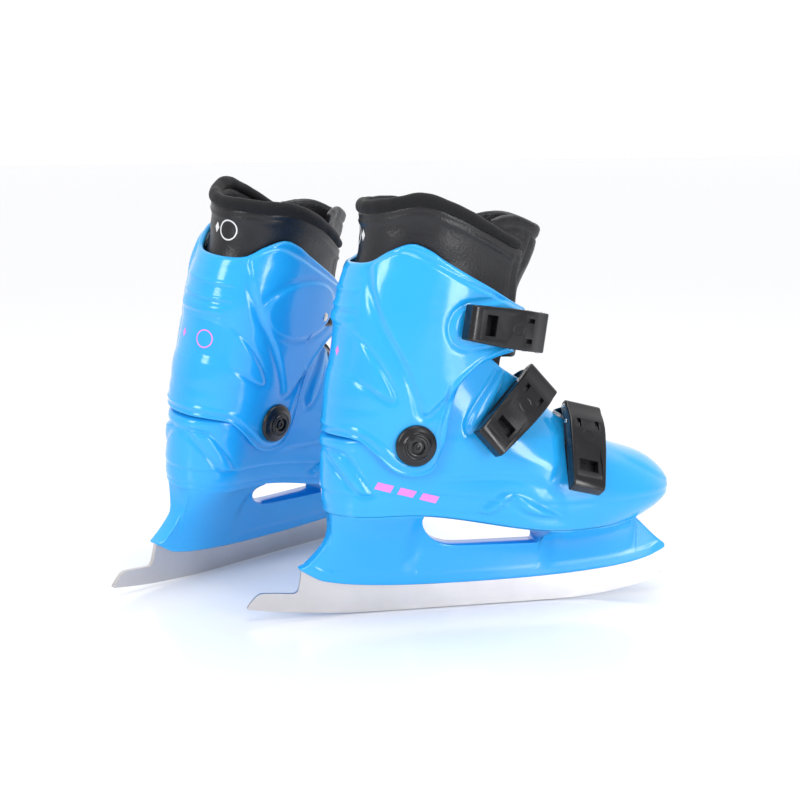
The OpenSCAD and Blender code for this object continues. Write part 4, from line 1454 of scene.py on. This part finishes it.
def repeatTree():
    # one small shape set on every point, stood along the point's aim and turned to its lead
    tree = bpy.data.node_groups.new("repeatOnPoints", "GeometryNodeTree")
    face = tree.interface
    face.new_socket("Geometry", in_out="INPUT", socket_type="NodeSocketGeometry")
    face.new_socket("Part", in_out="INPUT", socket_type="NodeSocketObject")
    face.new_socket("Size", in_out="INPUT", socket_type="NodeSocketFloat").default_value = 1.0
    face.new_socket("Vary", in_out="INPUT", socket_type="NodeSocketFloat").default_value = 0.0
    face.new_socket("Seed", in_out="INPUT", socket_type="NodeSocketInt").default_value = 7
    face.new_socket("Material", in_out="INPUT", socket_type="NodeSocketMaterial")
    face.new_socket("Geometry", in_out="OUTPUT", socket_type="NodeSocketGeometry")
    add = lambda kind, x, y: addNode(tree, kind, (x, y))
    start, end = add("NodeGroupInput", -900, 0), add("NodeGroupOutput", 900, 0)
    toPoints = add("GeometryNodeMeshToPoints", -650, 100)
    aim = add("GeometryNodeInputNamedAttribute", -900, -300)
    lead = add("GeometryNodeInputNamedAttribute", -900, -500)
    for node, name in ((aim, "aim"), (lead, "lead")):
        node.data_type = "FLOAT_VECTOR"
        node.inputs["Name"].default_value = name
    stand = add("FunctionNodeAlignRotationToVector", -650, -300)
    turn = add("FunctionNodeAlignRotationToVector", -430, -300)
    stand.axis, turn.axis, turn.pivot_axis = "Z", "X", "Z"
    info = add("GeometryNodeObjectInfo", -650, -100)
    vary = addNode(tree, "FunctionNodeRandomValue", (-430, -520), data_type="FLOAT")
    low, high = add("ShaderNodeMath", -640, -620), add("ShaderNodeMath", -640, -760)
    low.operation, high.operation = "SUBTRACT", "ADD"
    on = add("GeometryNodeInstanceOnPoints", -100, 0)
    solid, paint = add("GeometryNodeRealizeInstances", 250, 0), add("GeometryNodeSetMaterial", 520, 0)
    link = tree.links.new
    link(start.outputs["Geometry"], toPoints.inputs["Mesh"])
    link(aim.outputs["Attribute"], stand.inputs["Vector"])
    link(stand.outputs["Rotation"], turn.inputs["Rotation"])
    link(lead.outputs["Attribute"], turn.inputs["Vector"])
    link(start.outputs["Part"], info.inputs["Object"])
    for node in (low, high):
        link(start.outputs["Size"], node.inputs[0])
        link(start.outputs["Vary"], node.inputs[1])
    link(low.outputs[0], vary.inputs[2])
    link(high.outputs[0], vary.inputs[3])
    link(start.outputs["Seed"], vary.inputs["Seed"])
    link(toPoints.outputs["Points"], on.inputs["Points"])
    link(info.outputs["Geometry"], on.inputs["Instance"])
    link(turn.outputs["Rotation"], on.inputs["Rotation"])
    link(vary.outputs[1], on.inputs["Scale"])
    link(on.outputs["Instances"], solid.inputs["Geometry"])
    link(solid.outputs["Geometry"], paint.inputs["Geometry"])
    link(start.outputs["Material"], paint.inputs["Material"])
    link(paint.outputs["Geometry"], end.inputs["Geometry"])
    return tree


repeatNodes = repeatTree()


def repeated(name, places, aims, leads, part, size, side, material, vary=0.0):
    m = np.array(skateTo[side])
    mesh = bpy.data.meshes.new(name + "Points")
    mesh.from_pydata(toRow(places, side).tolist(), [], [])
    for key, rows in (("aim", aims), ("lead", leads)):
        data = mesh.attributes.new(key, "FLOAT_VECTOR", "POINT")
        turned = np.asarray(rows, float) @ m[:3, :3].T * 1000
        data.data.foreach_set("vector", turned.astype(np.float32).ravel())
    holder = bpy.data.objects.new(name, mesh)
    scene.collection.objects.link(holder)
    nodes = holder.modifiers.new("repeat", "NODES")
    nodes.node_group = repeatNodes
    values = {"Part": part, "Size": size, "Vary": vary, "Seed": 7, "Material": material}
    for item in repeatNodes.interface.items_tree:
        if item.in_out == "INPUT" and item.name in values:
            nodes[item.identifier] = values[item.name]
    applied(holder)
    holder.data.name = name
    bpy.data.objects.remove(part, do_unlink=True)
    if not holder.data.materials:
        holder.data.materials.append(material)
    return holder


def rivetPart(head, high, shank):
    # a domed head over a short shank, standing on z
    profile = [
        (0, high), (head * 0.35, high * 0.96), (head * 0.7, high * 0.74), (head * 0.92, high * 0.4),
        (head, 0.12), (head * 0.97, 0.0), (shank, 0.0), (shank, -2.0), (0, -2.0),
    ]
    ring = latheRing(profile, 28)
    n, m = ring.shape[:2]
    obj = looseMesh("rivet", ring.reshape(-1, 3), gridFaces(n, m, True, False))
    obj.data.polygons.foreach_set("use_smooth", [True] * len(obj.data.polygons))
    sharpen(obj, 50)
    return obj


def screwPart(head, high, recess):
    # a flat round head with a hexagon socket, over a shank
    profile = [
        (head * 0.52, high - recess), (head * 0.54, high), (head * 0.86, high), (head * 0.97, high * 0.86),
        (head, high * 0.6), (head, 0.0), (head * 0.5, 0.0), (head * 0.5, -6.0), (0, -6.0),
    ]
    ring = latheRing(profile, 36)
    six = np.abs((np.linspace(0, 2 * np.pi, 36, endpoint=False) + np.pi / 6) % (np.pi / 3) - np.pi / 6)
    shape = 1 / (np.cos(six) * 1.1)
    ring[:, 0:2, 0:2] *= shape[:, None, None]
    socketFloor = ring[:, 0].copy()
    socketFloor[:, 0:2] = 0
    points = np.concatenate([socketFloor[:, None], ring], 1)
    n, m = points.shape[:2]
    obj = looseMesh("screw", points.reshape(-1, 3), gridFaces(n, m, True, False))
    obj.data.polygons.foreach_set("use_smooth", [True] * len(obj.data.polygons))
    sharpen(obj, 40)
    return obj


def strapAnchor(which):
    # where a strap's fixed end is riveted, and the way its rivet points
    z, u = {"top": (200.4, 0.585), "mid": (138, 0.68), "toe": (105, 0.723)}[which]
    table, foot = strapPath[which][:2]
    p, q = surf(table, z, u, 0, foot), surf(table, z, u, 1, foot)
    d = np.array([q[0] - p[0], q[1] - p[1], 0])
    d /= np.linalg.norm(d)
    return p, d


leverPoints, leverFaces = leverSolid()
basePoints, baseFaces = baseSolid()


def makeBuckle(which, side):
    s = buckleShape
    bootOrCuff = bodyOf["cuff" if which == "top" else "boot", side]
    leverBody = "lever_" + which + "_" + sideWord[side]
    title = which.title() + side
    obj = makeMesh("lever" + title, onBuckle(which, leverPoints), leverFaces, side, finish["buckle"])
    clean(obj, 0.000001)
    sharpen(obj, 32)
    placed(obj, leverBody, ["lever_" + which + sideTail[side]])
    base = makeMesh("buckleBase" + title, onBuckle(which, basePoints), baseFaces, side, finish["buckle"])
    clean(base, 0.000001)
    sharpen(base, 32)
    placed(base, bootOrCuff, ["base_" + which + sideTail[side]])
    points, faces = rod((s["catchX"], 0, s["catchUp"]), (0, 1, 0), s["pin"], s["width"] + 0.8)
    catch = makeMesh("catchPin" + title, onBuckle(which, points), faces, side, finish["plated"])
    clean(catch, 0.000001)
    sharpen(catch, 60)
    placed(catch, leverBody, ["catch_" + which + sideTail[side]])
    makeStrap(which, side)


def makeFixings(side):
    s = buckleShape
    tail = sideTail[side]
    groups = {
        "Top": (["top"], "cuff", ["pins_top"], ["rivets_top"]),
        "Foot": (["mid", "toe"], "boot", ["pins_foot"], ["rivets_foot", "strap_rivets"]),
    }
    for title, (which, part, pinNodes, rivetNodes) in groups.items():
        body = bodyOf[part, side]
        pins = []
        for w in which:
            points, faces = rod((0, 0, s["hingeUp"]), (0, 1, 0), s["pin"], s["width"] + 1)
            pins.append((onBuckle(w, points), faces))
        obj = makeMesh("hingePins" + title + side, *joined(pins), side, finish["plated"])
        clean(obj, 0.000001)
        sharpen(obj, 60)
        placed(obj, body, [node + tail for node in pinNodes])
        places, aims, leads = [], [], []
        for w in which:
            axes = buckleAxes(w)[1]
            places.append(onBuckle(w, (46, 0, 1.5)))
            aims.append(axes[2])
            leads.append(axes[0])
        for w in which:
            p, d = strapAnchor(w)
            places.append(p + 2.6 * d)
            aims.append(d)
            leads.append((0, 0, 1))
        rivet = rivetPart(3.4, 1.3, 2.0)
        rivets = repeated(
            "rivets" + title + side, places, aims, leads, rivet, 1.0, side, finish["plated"]
        )
        placed(rivets, body, [node + tail for node in rivetNodes])
    caps = [(109, way * 46.1, 125) for way in (-1, 1)]
    screws = repeated("pivotScrews" + side, caps, [(0, -1, 0), (0, 1, 0)], [(0, 0, 1), (0, 0, 1)],
                      screwPart(3.3, 0.9, 0.8), 1.0, side, finish["darkSteel"])
    placed(screws, bodyOf["boot", side], ["pivot_rivets" + tail])
    spots = [(76, -9), (76, 9), (104, -14), (104, 14), (226, -12), (226, 16), (258, -8), (258, 12)]
    places = [(x, y, soleAt(x) + 4.0) for x, y in spots]
    screws = repeated("soleScrews" + side, places, [(0, 0, 1)] * 8, [(1, 0, 0)] * 8,
                      screwPart(4.0, 1.2, 0.9), 1.0, side, finish["plated"])
    placed(screws, bodyOf["boot", side], ["sole_screws" + tail])


for side in "RL":
    for which in ("top", "mid", "toe"):
        makeBuckle(which, side)
    makeFixings(side)
print("buckles, straps and fixings done")


# plain coloured prints: bars, rings and diamonds
printShape = {
    "lift": 0.10,
    "sink": 0.12,
    "bars": [(84.0, 97.0), (99.5, 92.6), (115.0, 88.2)],
    "barLong": 11.0,
    "barHigh": 4.6,
    "barSlope": -0.285,
    "barLean": 2.6,
    "ringHole": 0.86,
    "ringTurn": 13,
    "diamondTurn": -15,
    "pinkAt": 186.0,
    "pinkSize": 6.6,
    "whiteAt": 262.0,
    "whiteSize": 7.4,
}


def surfaceFinder(obj):
    b = bmesh.new()
    b.from_mesh(obj.data)
    tree = BVHTree.FromBMesh(b)
    b.free()
    return tree


def printed(name, target, side, origin, across, up, into, outline, material, hole=None):
    # a thin patch laid on a surface: its outline (or ring) is dropped onto the target
    tree = surfaceFinder(target)
    m = np.array(skateTo[side])
    turn = m[:3, :3]
    aim = turn @ (np.array(into, float))
    aim = Vector(aim / np.linalg.norm(aim))
    rings = []
    steps = 5
    inside = np.array(hole) if hole is not None else np.repeat([np.mean(outline, 0)], len(outline), 0)
    for k in range(steps + 1):
        t = k / steps
        ring = []
        for (a0, b0), (a1, b1) in zip(inside, outline):
            a, b = a0 + (a1 - a0) * t, b0 + (b1 - b0) * t
            p = np.array(origin) + a * np.array(across) + b * np.array(up)
            start = Vector(toRow([p], side)[0])
            hit, normal, _, _ = tree.ray_cast(start, aim, 0.2)
            if hit is None:
                return None
            if normal.dot(aim) > 0:
                normal = -normal
            ring.append((np.array(hit), np.array(normal)))
        rings.append(ring)
    p = printShape
    tops = [[h + q * p["lift"] * 0.001 for h, q in ring] for ring in rings]
    lows = [[h - q * p["sink"] * 0.001 for h, q in ring] for ring in rings]
    loop = np.array(tops + lows[::-1])
    mesh = bpy.data.meshes.new(name)
    faces = gridFaces(*loop.shape[:2], True, True)
    mesh.from_pydata(loop.reshape(-1, 3).tolist(), [], faces)
    mesh.materials.append(material)
    obj = bpy.data.objects.new(name, mesh)
    scene.collection.objects.link(obj)
    clean(obj, 0.000002)
    return obj


def circle(radius, count=48):
    a = np.linspace(0, 2 * np.pi, count, endpoint=False)
    return [(radius * math.cos(t), radius * math.sin(t)) for t in a]


def alongEdges(corners, steps):
    # points in even steps along the straight edges of a closed outline
    ends = corners[1:] + corners[:1]
    places = np.linspace(0, 1, steps + 1)[:-1]
    return [tuple(np.array(a) * (1 - t) + np.array(b) * t) for a, b in zip(corners, ends) for t in places]


def makePrints(side):
    p = printShape
    shell, cuff, liner = (bpy.data.objects[n + side] for n in ("lowerShell", "cuffShell", "linerShaft"))
    for i, (x, z) in enumerate(p["bars"]):
        lean, half = p["barLean"] / 2, p["barHigh"] / 2
        rise = p["barSlope"] * p["barLong"]
        corners = [(-lean, -half), (p["barLong"] - lean, rise - half)]
        corners += [(p["barLong"] + lean, rise + half), (lean, half)]
        patch = printed(
            f"pinkBar{i + 1}{side}", shell, side, (x, -70, z), (1, 0, 0), (0, 0, 1), (0, 1, 0),
            alongEdges(corners, 9), finish["pink"],
        )
        if patch:
            placed(patch, bodyOf["boot", side], [])
    ring = circle(1.0)
    diamond = alongEdges([(0, -0.52), (0.34, 0), (0, 0.52), (-0.34, 0)], 8)
    kinds = [("Ring", p["ringTurn"], ring, p["ringHole"]), ("Diamond", p["diamondTurn"], diamond, None)]
    for name, target in (("pink", cuff), ("white", liner)):
        height, size = p[name + "At"], p[name + "Size"]
        for kind, turn, outline, hole in kinds:
            t = math.radians(turn)
            into, across = (math.cos(t), -math.sin(t), 0), (math.sin(t), math.cos(t), 0)
            centre = np.array((104.0, 0, height)) - 90 * np.array(into)
            scaled = [(a * size, b * size) for a, b in outline]
            inner = [(a * size * hole, b * size * hole) for a, b in outline] if hole else None
            patch = printed(
                name + kind + side, target, side, centre, across, (0, 0, 1), into,
                scaled, finish[name], inner,
            )
            if patch:
                placed(patch, bodyOf["cuff", side], [])


for side in "RL":
    makePrints(side)
print("prints done")


# the stage
stageLook = {
    "cameraAt": (-0.3190, -1.1715, 0.3715),
    "cameraTo": (-0.0478, -0.0242, 0.153),
    "lens": 80.7,
    "skyFront": 0.62,
    "skyBack": 1.12,
    "floorRough": 0.18,
}


def makeFloor():
    mesh = bpy.data.meshes.new("paleFloor")
    size = 6.0
    mesh.from_pydata(
        [(-size, -size, -0.0004), (size, -size, -0.0004), (size, size, -0.0004), (-size, size, -0.0004)],
        [], [(0, 1, 2, 3)],
    )
    mat = newMaterial("paleFloor", (0.90, 0.905, 0.94), stageLook["floorRough"])[0]
    mesh.materials.append(mat)
    floor = bpy.data.objects.new("paleFloor", mesh)
    scene.collection.objects.link(floor)


def softBox(name, at, to, width, height, power):
    lamp = bpy.data.lights.new(name, "AREA")
    lamp.shape = "RECTANGLE"
    lamp.size, lamp.size_y = width, height
    lamp.energy = power
    obj = bpy.data.objects.new(name, lamp)
    scene.collection.objects.link(obj)
    obj.location = at
    obj.rotation_euler = (Vector(to) - Vector(at)).to_track_quat("-Z", "Y").to_euler()
    return obj


def makeStage():
    makeFloor()
    softBox("topLight", (0.15, -0.1, 1.5), (0, 0, 0.1), 0.9, 0.9, 9)
    softBox("stripLight", (0.62, -1.35, 0.42), (0, 0, 0.15), 0.34, 0.95, 9)
    softBox("leftLight", (-1.15, -0.75, 0.75), (0, 0, 0.17), 0.35, 0.8, 7)
    scene.view_settings.view_transform = "Standard"
    world = bpy.data.worlds.new("paleRoom")
    scene.world = world
    world.use_nodes = True
    back = world.node_tree.nodes["Background"]
    back.inputs["Color"].default_value = (1, 1, 1, 1)
    # the room is brightest behind the skates and dimmer in front of them
    tree = world.node_tree
    where = addNode(tree, "ShaderNodeTexCoord", (-900, 0))
    parts = addNode(tree, "ShaderNodeSeparateXYZ", (-700, 0))
    span = addNode(tree, "ShaderNodeMapRange", (-450, 0), interpolation_type="SMOOTHSTEP")
    reach = {
        "From Min": -0.35, "From Max": 0.45,
        "To Min": stageLook["skyFront"], "To Max": stageLook["skyBack"],
    }
    for key, value in reach.items():
        span.inputs[key].default_value = value
    tree.links.new(where.outputs["Generated"], parts.inputs["Vector"])
    tree.links.new(parts.outputs["Y"], span.inputs["Value"])
    tree.links.new(span.outputs["Result"], back.inputs["Strength"])
    camera = bpy.data.objects.new("camera", bpy.data.cameras.new("camera"))
    scene.collection.objects.link(camera)
    camera.data.lens = stageLook["lens"]
    camera.data.sensor_width = 36
    camera.location = stageLook["cameraAt"]
    aim = Vector(stageLook["cameraTo"]) - Vector(stageLook["cameraAt"])
    camera.rotation_euler = aim.to_track_quat("-Z", "Y").to_euler()
    scene.camera = camera


makeStage()
print("stage set")
